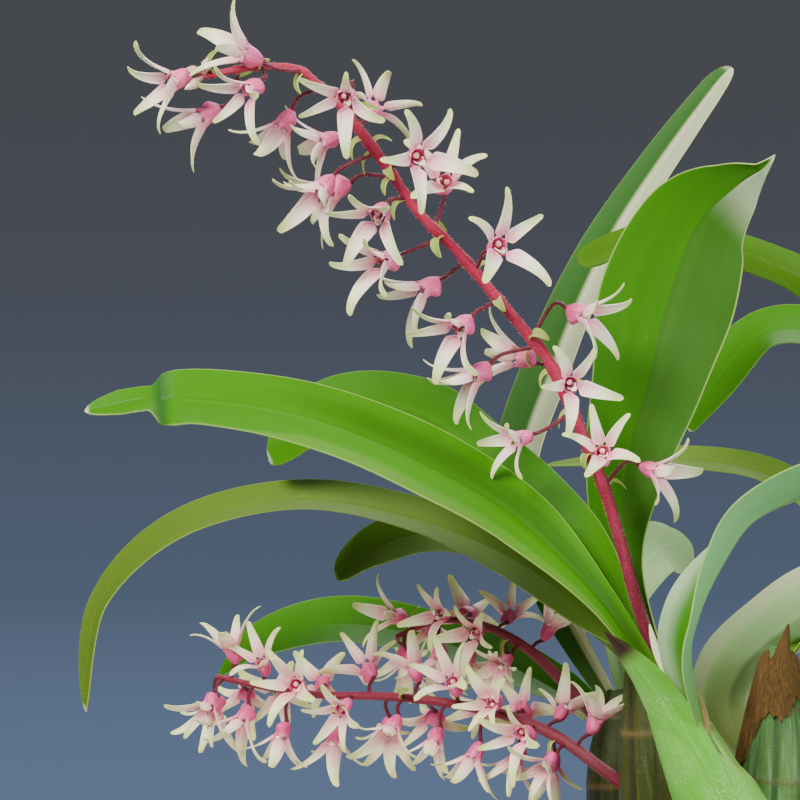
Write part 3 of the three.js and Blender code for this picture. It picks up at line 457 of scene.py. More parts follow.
def chip_grower():
    """Chips of bark scattered over a surface, each turned its own way and knocked out of true."""
    grower = Grower("bark_chips")
    geometry = Wire(grower, grower.start.outputs["Geometry"])
    apart = grower.input("Apart")
    size = grower.input("Size", "NodeSocketVector")
    rough = grower.input("Roughness")
    seed = grower.input("Seed", "NodeSocketInt")
    material = grower.input("Material", "NodeSocketMaterial")
    spread = grower.add("GeometryNodeDistributePointsOnFaces", {"distribute_method": "POISSON"},
                        geometry, Seed=seed)
    spread_node = spread.socket.node
    grower.feed(spread_node.inputs["Distance Min"], apart)
    grower.feed(spread_node.inputs["Density Max"], 60000.0)
    block = grower.add("GeometryNodeMeshCube", None, size, 4, 3, 3)
    turn = grower.add("FunctionNodeRandomValue", {"data_type": "FLOAT_VECTOR"},
                      (-0.5, -0.5, 0.0), (0.5, 0.5, 6.28), Seed=seed)
    grow = grower.add("FunctionNodeRandomValue", {"data_type": "FLOAT_VECTOR"},
                      (0.6, 0.6, 0.6), (1.5, 1.3, 1.5), Seed=seed)
    laid = grower.add("GeometryNodeInstanceOnPoints", None, spread, Instance=block,
                      Rotation=turn, Scale=grow)
    loose = grower.add("GeometryNodeRealizeInstances", None, laid)
    where = grower.add("GeometryNodeInputPosition")
    shake = grower.add("ShaderNodeTexNoise", None, Vector=where, Scale=190.0, Detail=1.0,
                       output="Color")
    middle = grower.add("ShaderNodeVectorMath", {"operation": "SUBTRACT"}, shake, (0.5, 0.5, 0.5))
    push = grower.scaled(middle, rough)
    knocked = grower.add("GeometryNodeSetPosition", None, loose, Offset=push)
    grower.finish(knocked, material)
    return grower


chip_bed = Skin()
turned(chip_bed, [((pot_inside(MIX_TOP) - 6) * share,
                   MIX_TOP + 0.5 + MIX_CROWN * (1 - share * share))
                  for share in np.linspace(1, 0.03, 16)], 60)
chip_mesh = chip_grower().grow(chip_bed.mesh("chip_bed", bark), "bark_chips", Apart=0.0052,
                               Size=(0.012, 0.008, 0.0042), Roughness=0.0045, Seed=4,
                               Material=bark.material)
chip_mesh.set_sharp_from_angle(angle=math.radians(35))
settle(mound.mesh("potting_mix_mound", bark), "bark", "potting_mix")
settle(chip_mesh, "bark")


# Rhizome and roots. A woody creeping stem, ringed with old scale marks, lies on the bark and
# joins the pseudobulbs foot to foot. A few thick grey-green roots leave it and dive into the mix.
def seeded(seed):
    """The same draw of numbers between 0 and 1 at every run."""
    state = seed

    def draw():
        nonlocal state
        state = (state * 1664525 + 1013904223) % 4294967296
        return state / 4294967296
    return draw


def along(rows, t):
    """A smooth run through rows of numbers, read at the shares t of its length."""
    rows = np.array(rows, float)
    last = len(rows) - 1
    place = np.clip(np.atleast_1d(t), 0, 1) * last
    step = np.minimum(place.astype(int), last - 1)
    f = (place - step)[:, None]
    start, stop = rows[step], rows[step + 1]
    slope_in = (stop - rows[np.maximum(step - 1, 0)]) / 2
    slope_out = (rows[np.minimum(step + 2, last)] - start) / 2
    bend = 2 * start - 2 * stop + slope_in + slope_out
    sag = 3 * stop - 3 * start - 2 * slope_in - slope_out
    return ((bend * f + sag) * f + slope_in) * f + start


def eased(share):
    """A share between 0 and 1, with a soft start and a soft end."""
    share = np.clip(share, 0, 1)
    return share * share * (3 - 2 * share)


def unit(vectors):
    vectors = np.asarray(vectors, float)
    return vectors / np.maximum(np.linalg.norm(vectors, axis=-1, keepdims=True), 1e-9)


def heading(rows, t):
    """The way a run of rows goes at t."""
    t = np.atleast_1d(t)
    return unit((along(rows, t + 0.01) - along(rows, t - 0.01))[:, :3])


def frames(path):
    """Two directions across a path at each of its points, carried along it without a twist."""
    ahead = unit(np.gradient(path, axis=0))
    side = np.array([0.3, 1, 0.2])
    sides = []
    for way in ahead:
        side = unit(side - way * side.dot(way))
        sides.append(side)
    sides = np.array(sides)
    return ahead, sides, np.cross(ahead, sides)


def tube(skin, path, radius, around=12, shape=None, **values):
    """A round stem along a path. Shape gives the radius a pattern from the angle and the length."""
    path = np.asarray(path, float)
    rings = len(path)
    _, side, other = frames(path)
    angle = np.arange(around) * 2 * math.pi / around
    share = np.linspace(0, 1, rings)
    wide = np.broadcast_to(np.asarray(radius, float), rings)[:, None] * np.ones(around)
    if shape is not None:
        wide = wide * shape(angle[None, :], share[:, None])
    grid = (path[:, None] + side[:, None] * (wide * np.cos(angle))[..., None]
            + other[:, None] * (wide * np.sin(angle))[..., None])
    count = rings * around
    points = np.concatenate([grid.reshape(-1, 3), path[:1], path[-1:]])

    def spread(grid_values, ends):
        return np.concatenate([(grid_values * np.ones((rings, around))).ravel(), ends])
    values = {key: spread(value, [0, 0]) if np.ndim(value) else value
              for key, value in values.items()}
    skin.add(points, round_grid(rings, around, count, count + 1),
             along=spread(share[:, None], [0, 1]), east=spread(np.cos(angle), [0, 0]),
             north=spread(np.sin(angle), [0, 0]), **values)


BULBS = {
    "front": [(20, -38, 114, 7), (15, -38, 130, 15), (4, -38, 148, 17), (-6, -38, 168, 14),
              (-20, -38, 198, 9), (-28, -38, 216, 4.6)],
    "old": [(-22, -4, 114, 7), (-22, -4, 134, 13), (-23, -5, 156, 15), (-25, -5, 180, 13.5),
            (-28, -5, 206, 9), (-30, -5, 222, 5)],
    "sheathed": [(20, 8, 114, 7), (20, 8, 134, 14), (21, 8, 158, 16), (22, 8, 182, 13.5),
                 (22, 8, 204, 8), (22, 8, 216, 4)],
    "rear": [(-34, 42, 114, 6), (-34, 42, 130, 11), (-35, 43, 148, 12.5), (-36, 44, 168, 11),
             (-36, 45, 184, 7), (-36, 46, 194, 4)],
    "right": [(44, 36, 114, 6), (44, 36, 130, 12), (44, 36, 150, 13.5), (44, 37, 172, 12),
              (44, 38, 192, 7), (44, 38, 204, 4)],
    "outer": [(52, -15, 114, 6), (52, -15, 130, 12), (53, -15, 150, 13.5), (54, -15, 170, 11.5),
              (55, -15, 188, 7), (56, -15, 200, 4)],
}
CREEPS = [("rear", "old", "front"), ("old", "sheathed", "right"), ("sheathed", "outer")]
ROOTS = [
    [(-24, -8, 116, 1.6), (-34, -20, 120, 1.6), (-44, -30, 119, 1.5), (-52, -38, 113, 1.3)],
    [(22, -40, 116, 1.6), (10, -52, 119.5, 1.6), (-4, -60, 119, 1.5), (-14, -64, 113, 1.3)],
    [(50, -17, 116, 1.6), (58, -30, 119, 1.6), (60, -40, 117.5, 1.5), (58, -48, 112, 1.3)],
    [(44, 38, 116, 1.6), (34, 50, 119.5, 1.6), (20, 58, 119, 1.5), (8, 62, 113, 1.3)],
]
RHIZOME_HEIGHT = 117.5
RHIZOME_RADIUS = 4.4
creeping = Skin()
for names in CREEPS:
    rows = [(*BULBS[name][0][:2], RHIZOME_HEIGHT) for name in names]
    path = along(rows, np.linspace(0, 1, 60))
    scars = 1 + 0.1 * np.abs(np.sin(np.linspace(0, 1, 60) * math.pi * 5 * len(names))) ** 6
    tube(creeping, path, RHIZOME_RADIUS * scars, 18)
for number, rows in enumerate(ROOTS):
    path = along(rows, np.linspace(0, 1, 40))
    tube(creeping, path[:, :3] + [0, 0, 1.0], path[:, 3] * 1.15, 12,
         lambda angle, share, n=number: 1 + 0.06 * np.sin(3 * angle + 20 * share + n), root=1.0)

woody = Finish("rhizome", Roughness=0.7)
woody_streak = woody.noise(5.0, 5, at=woody.fibre(1.2, 9))
woody_bark = woody.mix(woody_streak.rise(0.35, 0.65), paint(86, 74, 44), paint(138, 128, 80))
woody_root = woody.mix(woody.noise(160, 4), paint(150, 152, 118), paint(206, 204, 178))
woody.set(Base_Color=woody.mix(woody.value("root"), woody_bark, woody_root))
woody.bump(woody_streak + woody.noise(700, 3) * 0.4, 0.0006)
settle(creeping.mesh("rhizome_and_roots", woody), "root", "rhizome")


# Pseudobulbs. Swollen fleshy stems that stand on the rhizome, with fine ridges down their sides,
# a ring where each dried scale was, and a narrow neck that the leaves grow from.
BULB_RINGS = 110
BULB_AROUND = 72


def bulb_body(name, ridges, depth, rings_at):
    skin = Skin()
    share = np.linspace(0, 1, BULB_RINGS)
    rows = along(BULBS[name], share)
    ring = np.zeros(BULB_RINGS)
    for place in rings_at:
        ring += np.exp(-((share - place) / 0.008) ** 2)
    wander = seeded(len(name) * 7 + ridges)
    phase = wander() * 6

    def ridge(angle, share):
        swing = 0.5 * np.sin(2.1 * share * math.pi + phase)
        return (np.sin(ridges * angle + swing) + 0.5 * np.sin((ridges // 2 + 1) * angle - phase)
                + 0.3 * np.sin((ridges * 2 + 3) * angle + 3 * swing))
    angle = np.arange(BULB_AROUND) * 2 * math.pi / BULB_AROUND
    fade = np.sin(np.clip(share, 0.02, 0.98) * math.pi)[:, None]
    tube(skin, rows[:, :3], rows[:, 3] * (1 + 0.022 * ring), BULB_AROUND,
         lambda a, s: 1 + depth * fade * ridge(a, s),
         ridge=ridge(angle[None, :], share[:, None]), ring=ring[:, None])
    return skin


def bulb_finish(name, low, high, streaks, painted_furrow_shade, mealy):
    finish = Finish(name, Roughness=0.45, Subsurface_Weight=0.08, Subsurface_Scale=0.003,
                    Subsurface_Radius=(0.6, 1.0, 0.25), Specular_IOR_Level=0.4)
    streak = finish.noise(4.0, 6, at=finish.fibre(2.6, 1.6), rough=0.6)
    patch = finish.noise(38, 4)
    colour = finish.mix(finish.value("along").rise(0.25, 0.95) * 0.9 + patch * 0.2, low, high)
    colour = finish.mix(streak.rise(0.45, 0.62) * 0.8, colour, streaks)
    # Painted shade: the furrows between the ridges are darkened where shade would fall.
    colour = finish.mix(finish.value("ridge").rise(-0.1, -1.3) * 0.8, colour, painted_furrow_shade)
    colour = finish.mix(finish.value("ring") * 0.6, colour, paint(120, 96, 56))
    stain = finish.noise(60, 5).rise(0.56, 0.7) * streak.rise(0.6, 0.4)
    colour = finish.mix(stain * 0.5, colour, paint(96, 70, 34))
    meal = finish.noise(2100, 2).rise(0.5, 0.66) * finish.noise(90, 4).rise(0.42, 0.62)
    colour = finish.mix(meal * mealy, colour, paint(226, 236, 214))
    finish.set(Base_Color=colour, Roughness=streak * 0.2 + 0.34 + meal * (0.2 * mealy))
    finish.bump(streak * 0.6 + finish.noise(800, 3) * 0.3 + meal * 0.3, 0.0005)
    return finish


# The fifth colour of each bulb finish is the painted shade in its furrows.
green_bulb = bulb_finish("bulb_green", paint(98, 164, 40), paint(120, 178, 72),
                         paint(146, 196, 104), paint(72, 128, 30), 0.15)
olive_bulb = bulb_finish("bulb_olive", paint(50, 52, 8), paint(44, 64, 8),
                         paint(64, 80, 16), paint(34, 28, 8), 0.03)
dark_bulb = bulb_finish("bulb_dark", paint(92, 132, 60), paint(88, 140, 66),
                        paint(124, 166, 112), paint(48, 84, 40), 0.1)
for name, finish, slot, ridges, depth, rings_at in (
        ("front", green_bulb, "bulb_green", 13, 0.006, (0.2, 0.45, 0.74)),
        ("old", olive_bulb, "bulb_olive", 9, 0.02, (0.16, 0.4, 0.66, 0.86)),
        ("sheathed", dark_bulb, "bulb_dark", 11, 0.018, (0.22, 0.48, 0.7)),
        ("rear", olive_bulb, "bulb_olive", 9, 0.022, (0.2, 0.5, 0.8)),
        ("right", dark_bulb, "bulb_dark", 10, 0.02, (0.2, 0.5, 0.78)),
        ("outer", green_bulb, "bulb_green", 12, 0.01, (0.2, 0.48, 0.76))):
    body = bulb_body(name, ridges, depth, rings_at)
    settle(body.mesh("bulb_" + name, finish), slot, "pseudobulb_" + name)


# Leaves. Thin leathery straps with a sunk midrib, fine parallel veins and a pale margin.
# Each grows folded out of the neck of its pseudobulb, opens, and arches over by its own weight.
LEAVES = {
    "front_long": dict(
        rows=[(-27, -42, 209, 8), (-49, -49, 241.3, 12.5), (-77, -45, 269, 27.5),
              (-106, -46, 287, 34), (-138, -46, 301.5, 32), (-170, -47, 310.4, 29),
              (-204, -49, 313.5, 24), (-232, -51, 309, 2)],
        faces=[(0.2, -0.9, 0.6), (0.1, -0.7, 0.75), (0, -0.65, 0.75), (0, -0.7, 0.7)],
        curls=(50, 26, 16, 16, 22), wave=0.6, finish="front", pinch=(0.862, 12.5), rings=200),
    "front_second": dict(
        rows=[(-26, -35, 209, 8), (-48, -31, 252, 18), (-68, -20, 272, 25), (-91, -1, 288.5, 29),
              (-116, 15, 303.5, 33), (-147, 27, 303, 31), (-170, 37, 284, 14)],
        faces=[(-0.5, -0.7, 0.5), (-0.4, -0.6, 0.7), (-0.15, -0.6, 0.8), (-0.45, -0.75, 0.45)],
        curls=(70, 34, 22, 20), wave=0.6, finish="fresh", blunt=0.07),
    "upright": dict(
        rows=[(-24, -34, 207, 9), (-38, -19, 250, 18), (-37, -16, 285, 31), (-29, -16, 318, 42),
              (-22, -15, 347, 51), (-12, -17, 374, 42), (2, -24, 389, 21), (12, -33, 396, 2)],
        faces=[(-0.3, -0.9, 0.1), (-0.2, -0.95, 0), (-0.2, -0.95, 0.1), (-0.1, -0.9, -0.2)],
        curls=(70, 30, 18, 20), wave=0.8, finish="deep", hook=(2.6, -0.6, 4.2)),
    "front_right": dict(
        rows=[(-12, -44, 196, 11), (-17, -53, 221, 22.5), (-14.8, -55, 236, 26.5),
              (-5.8, -56, 256, 26), (6.5, -55, 272, 28), (31, -51, 282, 31.5),
              (58, -46, 279, 29), (84, -41, 263, 22), (106, -37, 237, 12), (119, -35, 211, 2)],
        faces=[(-0.9, -0.45, 0.1), (-0.88, -0.48, 0.1), (-0.88, -0.45, 0.15), (-0.7, 0.1, 0.5),
               (-0.35, 0.45, 0.75), (-0.1, 0.5, 0.8), (0, 0.4, 0.9), (0.1, 0.4, 0.9),
               (0.2, 0.3, 0.9), (0.3, 0.3, 0.9)],
        curls=(84, 84, 34, 22, 20), wave=0.6, finish="folded"),
    "rear_tall": dict(
        rows=[(-36, 46, 188, 9), (-57, 77, 228, 22), (-70, 84, 273, 31), (-57, 89, 316, 35),
              (-38.5, 94, 359, 31), (-14, 97, 398, 24), (12, 98, 435, 13)],
        faces=[(-0.8, -0.5, 0.2), (-0.8, -0.5, 0.2), (-0.8, -0.5, 0.2)],
        curls=(70, 45, 40, 35), wave=0.4, finish="two_tone", blunt=0.06),
    "right_over": dict(
        rows=[(48, 35, 199, 8), (64, 43, 240, 22), (71, 42, 284, 26), (61, 38, 323, 24),
              (39, 30, 348, 19.5), (13, 20, 361, 17.5), (-11, 12, 367, 17),
              (-33, 5, 368.5, 13.5), (-54, -3, 360, 11)],
        faces=[(-0.7, -0.5, 0.3), (-0.7, -0.5, 0.4), (-0.2, -0.7, 0.6), (0, -0.7, 0.6)],
        curls=(70, 35, 22, 20), wave=0.6, finish="olive", blunt=0.05),
    "right_back": dict(
        rows=[(46, 42, 197, 8), (66, 62, 236, 25), (72, 72, 286, 31), (54, 77, 324, 29),
              (26, 82, 330.5, 29), (4, 87, 308, 24), (-5, 90, 291, 6)],
        faces=[(-0.6, -0.5, 0.3), (-0.5, -0.4, 0.7), (-0.1, -0.45, 0.85), (-0.6, -0.6, 0.4)],
        curls=(70, 35, 22, 20), wave=0.4, finish="fresh"),
    "olive_bar": dict(
        rows=[(23, 12, 206, 7), (43, 42, 230, 13), (46, 47, 259, 18), (22, 47, 277, 19),
              (-8, 45, 283, 17), (-36, 45, 283, 14), (-64, 45, 281, 3)],
        faces=[(-0.6, -0.4, 0.5), (-0.4, -0.5, 0.8), (0, -0.4, 0.9), (0, -0.3, 0.9)],
        curls=(70, 35, 22, 20), wave=0.4, finish="lime"),
    "far_pale": dict(
        rows=[(-31, 48, 182, 8), (-36, 54, 210, 13), (-33, 66, 231, 23), (-21, 76, 244.5, 25),
              (-11, 84, 243.5, 21), (-3, 90, 239, 9)],
        faces=[(0.3, -0.7, 0.2), (0.3, -0.6, 0.5), (0.25, -0.7, 0.6), (0.2, -0.8, 0.5)],
        curls=(70, 30, 14, 10), wave=0.4, finish="bleached", blunt=0.1),
    "sheathed_right": dict(
        rows=[(14, 17, 172, 12), (5, 24, 190, 26), (9, 25, 205, 35), (22, 20, 219, 36),
              (43, 8, 235, 33), (71, -4, 239, 24), (99, -12, 225, 14), (116, -14, 202, 2)],
        faces=[(-0.2, 0.8, 0.4), (-0.3, 0.8, 0.4), (0.1, 0.85, 0.45), (0.5, 0.2, 0.8)],
        curls=(60, 30, 22, 20), wave=0.4, finish="pale"),
    "old_long": dict(
        rows=[(-29, -4, 214, 8), (-45, 2, 226, 22), (-75, 13, 247, 30), (-112, 24, 261.6, 28),
              (-158, 34, 268.5, 27), (-205, 41, 257, 26), (-235, 43, 228, 21),
              (-241, 43, 186, 12)],
        faces=[(-0.3, -0.4, 0.8), (-0.3, -0.3, 0.9), (-0.1, -0.3, 0.9), (-0.6, -0.3, 0.6)],
        curls=(70, 30, 22, 22), wave=0.8, finish="old", blunt=0.08),
    "old_short": dict(
        rows=[(-28, 0, 204, 8), (-35, 14, 216, 20), (-48, 30, 230, 28), (-72, 47, 246, 30),
              (-103, 57, 254, 28), (-130, 63, 247, 24), (-145, 66, 235, 12)],
        faces=[(-0.2, 0.2, 0.9), (-0.3, -0.1, 0.9), (-0.2, -0.5, 0.8), (-0.5, -0.6, 0.6)],
        curls=(70, 30, 22, 22), wave=0.4, finish="lime", blunt=0.08),
    "rear_left": dict(
        rows=[(-38, 48, 178, 8), (-58, 82, 188, 20), (-90, 103, 200, 29), (-140, 115, 210, 30),
              (-177, 121, 202, 22), (-195, 124, 186, 2)],
        faces=[(-0.3, -0.2, 0.9), (-0.2, -0.4, 0.9), (0, -0.5, 0.8), (-0.4, -0.5, 0.7)],
        curls=(70, 30, 22, 22), wave=0.4, finish="fresh", blunt=0.05),
    "outer_front": dict(
        rows=[(57, -18, 194, 8), (70, -32, 230, 26), (94, -58, 238, 35), (126, -70, 247, 37),
              (160, -76, 240, 32), (186, -80, 219, 20), (200, -82, 196, 2)],
        faces=[(-0.5, 0.1, 0.5), (-0.5, 0, 0.8), (0, -0.1, 1), (0.6, 0, 0.8)],
        curls=(70, 32, 22, 20), wave=0.6, finish="fresh"),
    "outer_right": dict(
        rows=[(58, -11, 192, 8), (78, 10, 220, 26), (106, 29, 238, 36), (138, 41, 242, 36),
              (166, 49, 227, 24), (184, 55, 202, 2)],
        faces=[(-0.4, -0.2, 0.8), (-0.3, -0.1, 0.9), (0.2, 0, 1), (0.7, 0, 0.7)],
        curls=(70, 32, 22, 20), wave=0.6, finish="deep"),
    "outer_low": dict(
        rows=[(53, -20, 186, 8), (51, -48, 218, 23), (57, -76, 236, 33), (65, -104, 236, 31),
              (73, -128, 218, 20), (79, -142, 194, 2)],
        faces=[(0, 0.5, 0.8), (0, 0.4, 0.9), (0, -0.2, 1), (0, -0.7, 0.7)],
        curls=(70, 32, 22, 20), wave=0.4, finish="fresh"),
    "right_low": dict(
        rows=[(48, 40, 188, 8), (72, 58, 216, 25), (102, 72, 236, 33), (134, 84, 236, 31),
              (162, 94, 216, 19), (178, 100, 192, 2)],
        faces=[(-0.3, -0.3, 0.9), (-0.2, -0.2, 0.9), (0.2, 0, 1), (0.7, 0.2, 0.7)],
        curls=(70, 32, 22, 20), wave=0.4, finish="old"),
}
LEAF_RIB = 1.4
LEAF_MARGIN = 0.5


def sheet(skin, middle, thick, **values):
    """A closed thin body round a grid of points, thick on both sides of it.
    Its upper face is the one from which the grid's rows and columns turn anticlockwise."""
    rows, columns = middle.shape[:2]
    normal = unit(np.cross(np.gradient(middle, axis=0), np.gradient(middle, axis=1)))
    half = (np.asarray(thick) * np.ones((rows, columns)))[..., None] / 2
    points = np.concatenate([(middle + normal * half).reshape(-1, 3),
                             (middle - normal * half).reshape(-1, 3)])
    under = rows * columns
    row, column = np.meshgrid(np.arange(rows - 1), np.arange(columns - 1), indexing="ij")
    here = (row * columns + column).ravel()
    up = np.stack([here, here + columns, here + columns + 1, here + 1], 1)
    left = np.arange(rows - 1) * columns
    right = left + columns - 1
    near = np.arange(columns - 1)
    far = near + (rows - 1) * columns
    faces = [
        up, up[:, ::-1] + under,
        np.stack([left, left + under, left + columns + under, left + columns], 1),
        np.stack([right + columns, right + columns + under, right + under, right], 1),
        np.stack([near, near + 1, near + 1 + under, near + under], 1),
        np.stack([far + under, far + 1 + under, far + 1, far], 1),
    ]
    both = {key: np.tile((np.asarray(value) * np.ones((rows, columns))).ravel(), 2)
            for key, value in values.items()}
    skin.add(points, faces, side=np.repeat([1.0, 0.0], rows * columns), **both)


def leaf_blade(rows, faces, curls, wave, pinch=None, blunt=0.035, hook=None, rings=160, across=25):
    """A strap that is keeled at its foot and opens along its length. Pinch is the place of a
    crease near the tip and the width beyond it, blunt the share that the tip is rounded over,
    and hook the way its last end bends."""
    t = 1 - (1 - np.linspace(0, 1, rings)) ** 1.15
    s = np.linspace(1, -1, across)
    line = along(rows, t)
    ahead = heading(rows, t)
    up = along(faces, t)
    up = unit(up - ahead * (up * ahead).sum(1, keepdims=True))
    side = np.cross(ahead, up)
    curl = np.radians(along([[curl] for curl in curls], t))
    round_off = ((t[:, None] - 1 + blunt) / blunt).clip(0)
    width = line[:, 3:] * np.sqrt(np.clip(1 - round_off ** 2, 0.002, 1))
    crease = 0 * t[:, None]
    between = (s[1:] + s[:-1]) / 2
    if pinch is not None:
        place, beyond = pinch
        past = t[:, None] - place
        crease = np.exp(-(past / 0.012) ** 2)
        drop = eased((past + 0.007 * between) / 0.018)
        lobe = 0.19 * np.exp(-((past + 0.019) / 0.021) ** 2) * (between < 0)
        point = beyond * ((1 - t[:, None]) / 0.075).clip(0, 1) ** 0.6
        width = width * (1 + lobe) * (1 - drop) + point * drop
    keel = (0.8 - 0.5 * t)[:, None]
    lean = curl * (0.5 * keel * np.tanh(between / 0.12) + (1 - keel) * between)
    step = np.diff(s) * width / 2
    middle_column = across // 2
    over = np.concatenate([0 * t[:, None], np.cumsum(np.cos(lean) * step, axis=1)], 1)
    rise = np.concatenate([0 * t[:, None], np.cumsum(np.sin(lean) * step, axis=1)], 1)
    over -= over[:, middle_column:middle_column + 1]
    rise -= rise[:, middle_column:middle_column + 1]
    ripple = wave * s * s * np.sin(4 * math.pi * t[:, None] + np.where(s > 0, 0.0, 2.0))
    fade = np.clip((1 - t) / 0.1, 0, 1)[:, None]
    groove = -0.4 * np.exp(-(s / 0.06) ** 2) * fade
    middle = (line[:, None, :3] + side[:, None] * over[..., None]
              + up[:, None] * (rise + ripple + groove)[..., None])
    middle = middle - up[:, None] * (1.6 * crease * (1 - 0.4 * s))[..., None]
    if hook is not None:
        middle = middle + np.array(hook) * (((t - 0.955) / 0.045).clip(0) ** 1.5)[:, None, None]
    thick = LEAF_MARGIN + (LEAF_RIB - LEAF_MARGIN) * (1 - np.abs(s)) ** 0.8 * (0.3 + 0.7 * fade)
    thick = thick * np.clip((1 - t) / 0.02, 0.25, 1)[:, None]
    skin = Skin()
    sheet(skin, middle, thick, along=t[:, None], across=s[None, :], crease=crease)
    return skin


def leaf_finish(name, upper, under, foot, worn=0.1, second=None, border=(-0.02, 0.12), share=0.0,
                narrows=0.0, sheen=0.0, rim=0.2, matt=0.55, foot_end=0.14, band=0.0, both=False):
    """Worn is how marked the blade is, rim how cream its margin and its tip are, matt its
    roughness, and band how much painted shade darkens the soft band beside its midrib. Second
    tints one side of it, or both margins, from a border that narrows towards the tip: on the pale
    blade its own cream margins, on the others painted light and shade on one side, in part with
    the paler underside. Sheen whitens it there with a painted highlight."""
    finish = Finish(name, Roughness=matt, Subsurface_Weight=0.12, Subsurface_Scale=0.004,
                    Subsurface_Radius=(0.4, 1.0, 0.1), Specular_IOR_Level=0.36 - 0.4 * matt)
    lengthwise, across, side = (finish.value(key) for key in ("along", "across", "side"))
    spot = finish.add("ShaderNodeCombineXYZ", None, across * 5.0, lengthwise * 2.5, side)
    drift = finish.noise(1.0, 3, at=spot)
    lines = finish.noise(1.0, 4, at=finish.add("ShaderNodeCombineXYZ", None, across * 26.0,
                                               lengthwise * 1.6, side), rough=0.7)
    veins = (across * 84.0 + drift * 2.0).run("SINE")
    cloud = finish.noise(22, 4)
    colour = finish.mix(side, under, upper)
    colour = finish.mix(lengthwise.rise(foot_end, 0.0) * 0.7, colour, foot)
    if second is not None:
        beside = across.size() if both else across
        beside = (beside + lengthwise.rise(0.6, 0.8) * narrows).rise(*border)
        colour = finish.mix(beside * share, colour, second)
        # Painted highlight: a whitish sheen over that side near the tip.
        painted_sheen = beside * lengthwise.rise(0.74, 0.9) * sheen
        colour = finish.mix(painted_sheen, colour, paint(196, 206, 172))
    colour = finish.mix(cloud.rise(0.4, 0.68) * 0.25, colour, finish.shade(colour, 1.3))
    # Painted shade: a soft darker band beside the midrib, where the curled blade turns from the
    # light.
    painted_band_shade = (across - 0.35).size().rise(0.62, 0.12) * lengthwise.rise(0.74, 0.5)
    colour = finish.mix(painted_band_shade * band, colour, finish.shade(colour, 0.5))
    colour = finish.shade(colour, veins * 0.008 + lines * 0.16 + drift * 0.24 + 0.6)
    rib = across.size().rise(0.03, 0.0)
    colour = finish.mix(rib * 0.5, colour, finish.shade(colour, 0.66))
    edge = across.size().rise(0.97, 1.0)
    colour = finish.mix(edge * rim, colour, paint(188, 212, 112))
    colour = finish.mix(lengthwise.rise(0.982, 0.996) * (1.6 * rim), colour,
                        paint(236, 236, 196))
    # Painted shade in the fold near the tip: the crease is darkened where the blade dips.
    colour = finish.mix(finish.value("crease") * 0.85, colour, paint(34, 78, 32))
    marks = finish.noise(120, 4).rise(0.66, 0.72) * finish.noise(24, 3).rise(0.5, 0.62)
    colour = finish.mix(marks * worn, colour, paint(126, 112, 52))
    finish.set(Base_Color=colour, Roughness=drift * 0.2 + (matt - 0.1))
    finish.bump(veins * 0.012 + lines * 0.14 + finish.noise(600, 2) * 0.05
                + finish.noise(110, 3) * 0.3, 0.00025)
    return finish


leaf_finishes = {
    # Front: its second colour, a paler band along the lower side, is partly the underside curling
    # into view and partly painted sheen. Its band is painted shade.
    "front": leaf_finish("leaf_front", paint(62, 128, 1), paint(104, 158, 66),
                         paint(108, 160, 36), second=paint(86, 138, 36), border=(-0.55, -0.7),
                         share=0.8, narrows=0.5, rim=0.4, matt=0.48, band=0.75),
    "fresh": leaf_finish("leaf_fresh", paint(60, 124, 4), paint(100, 152, 70),
                         paint(108, 156, 44)),
    # Deep: its second colour is painted shade on the half of the blade turned from the light, and
    # its sheen is a painted highlight near the tip.
    "deep": leaf_finish("leaf_deep", paint(52, 113, 0), paint(96, 144, 60),
                        paint(92, 146, 20), second=paint(50, 94, 12), border=(-0.01, 0.03),
                        share=0.75, sheen=0.62, rim=0.5, matt=0.48),
    # Folded: its second colour is a painted highlight along one side of the pale underside.
    "folded": leaf_finish("leaf_folded", paint(60, 128, 2), paint(118, 178, 112),
                          paint(112, 166, 60), second=paint(208, 234, 198),
                          border=(-0.3, -0.9), share=0.5, rim=0.4, matt=0.48),
    # The rear tall blade's pale half is partly its paler underside and partly painted light on the
    # half that faces the light.
    "two_tone": leaf_finish("leaf_two_tone", paint(52, 100, 36), paint(110, 142, 84),
                            paint(86, 126, 44), second=paint(204, 212, 170),
                            border=(-0.3, -0.1), share=0.95, narrows=0.08),
    "olive": leaf_finish("leaf_olive", paint(74, 120, 12), paint(104, 134, 40),
                         paint(104, 132, 38), 0.3, rim=0.0),
    "lime": leaf_finish("leaf_lime", paint(114, 150, 50), paint(118, 154, 58),
                        paint(112, 142, 46), 0.2, matt=0.65),
    "pale": leaf_finish("leaf_pale", paint(150, 200, 104), paint(186, 226, 156),
                        paint(148, 148, 50), second=paint(222, 226, 184), border=(0.5, 0.8),
                        share=0.7, foot_end=0.45, matt=0.65, both=True),
    "bleached": leaf_finish("leaf_bleached", paint(182, 222, 156), paint(200, 226, 180),
                            paint(90, 118, 46), 0.05, matt=0.65, foot_end=0.4),
    "old": leaf_finish("leaf_old", paint(92, 122, 36), paint(114, 140, 58),
                       paint(112, 126, 48), 0.35, matt=0.65),
}
for name, leaf in LEAVES.items():
    finish = leaf_finishes[leaf["finish"]]
    shape = {key: value for key, value in leaf.items() if key != "finish"}
    settle(leaf_blade(**shape).mesh("leaf_blade_" + name, finish), "leaf", "leaf_" + name)


# Sheaths. A pale green, mealy one still clasps the flowering pseudobulb and ends in a dry point.
# The dark pseudobulb wears a brown papery one, split and wrinkled. Both are thin, closed sleeves.
SLEEVE_STEPS = 200


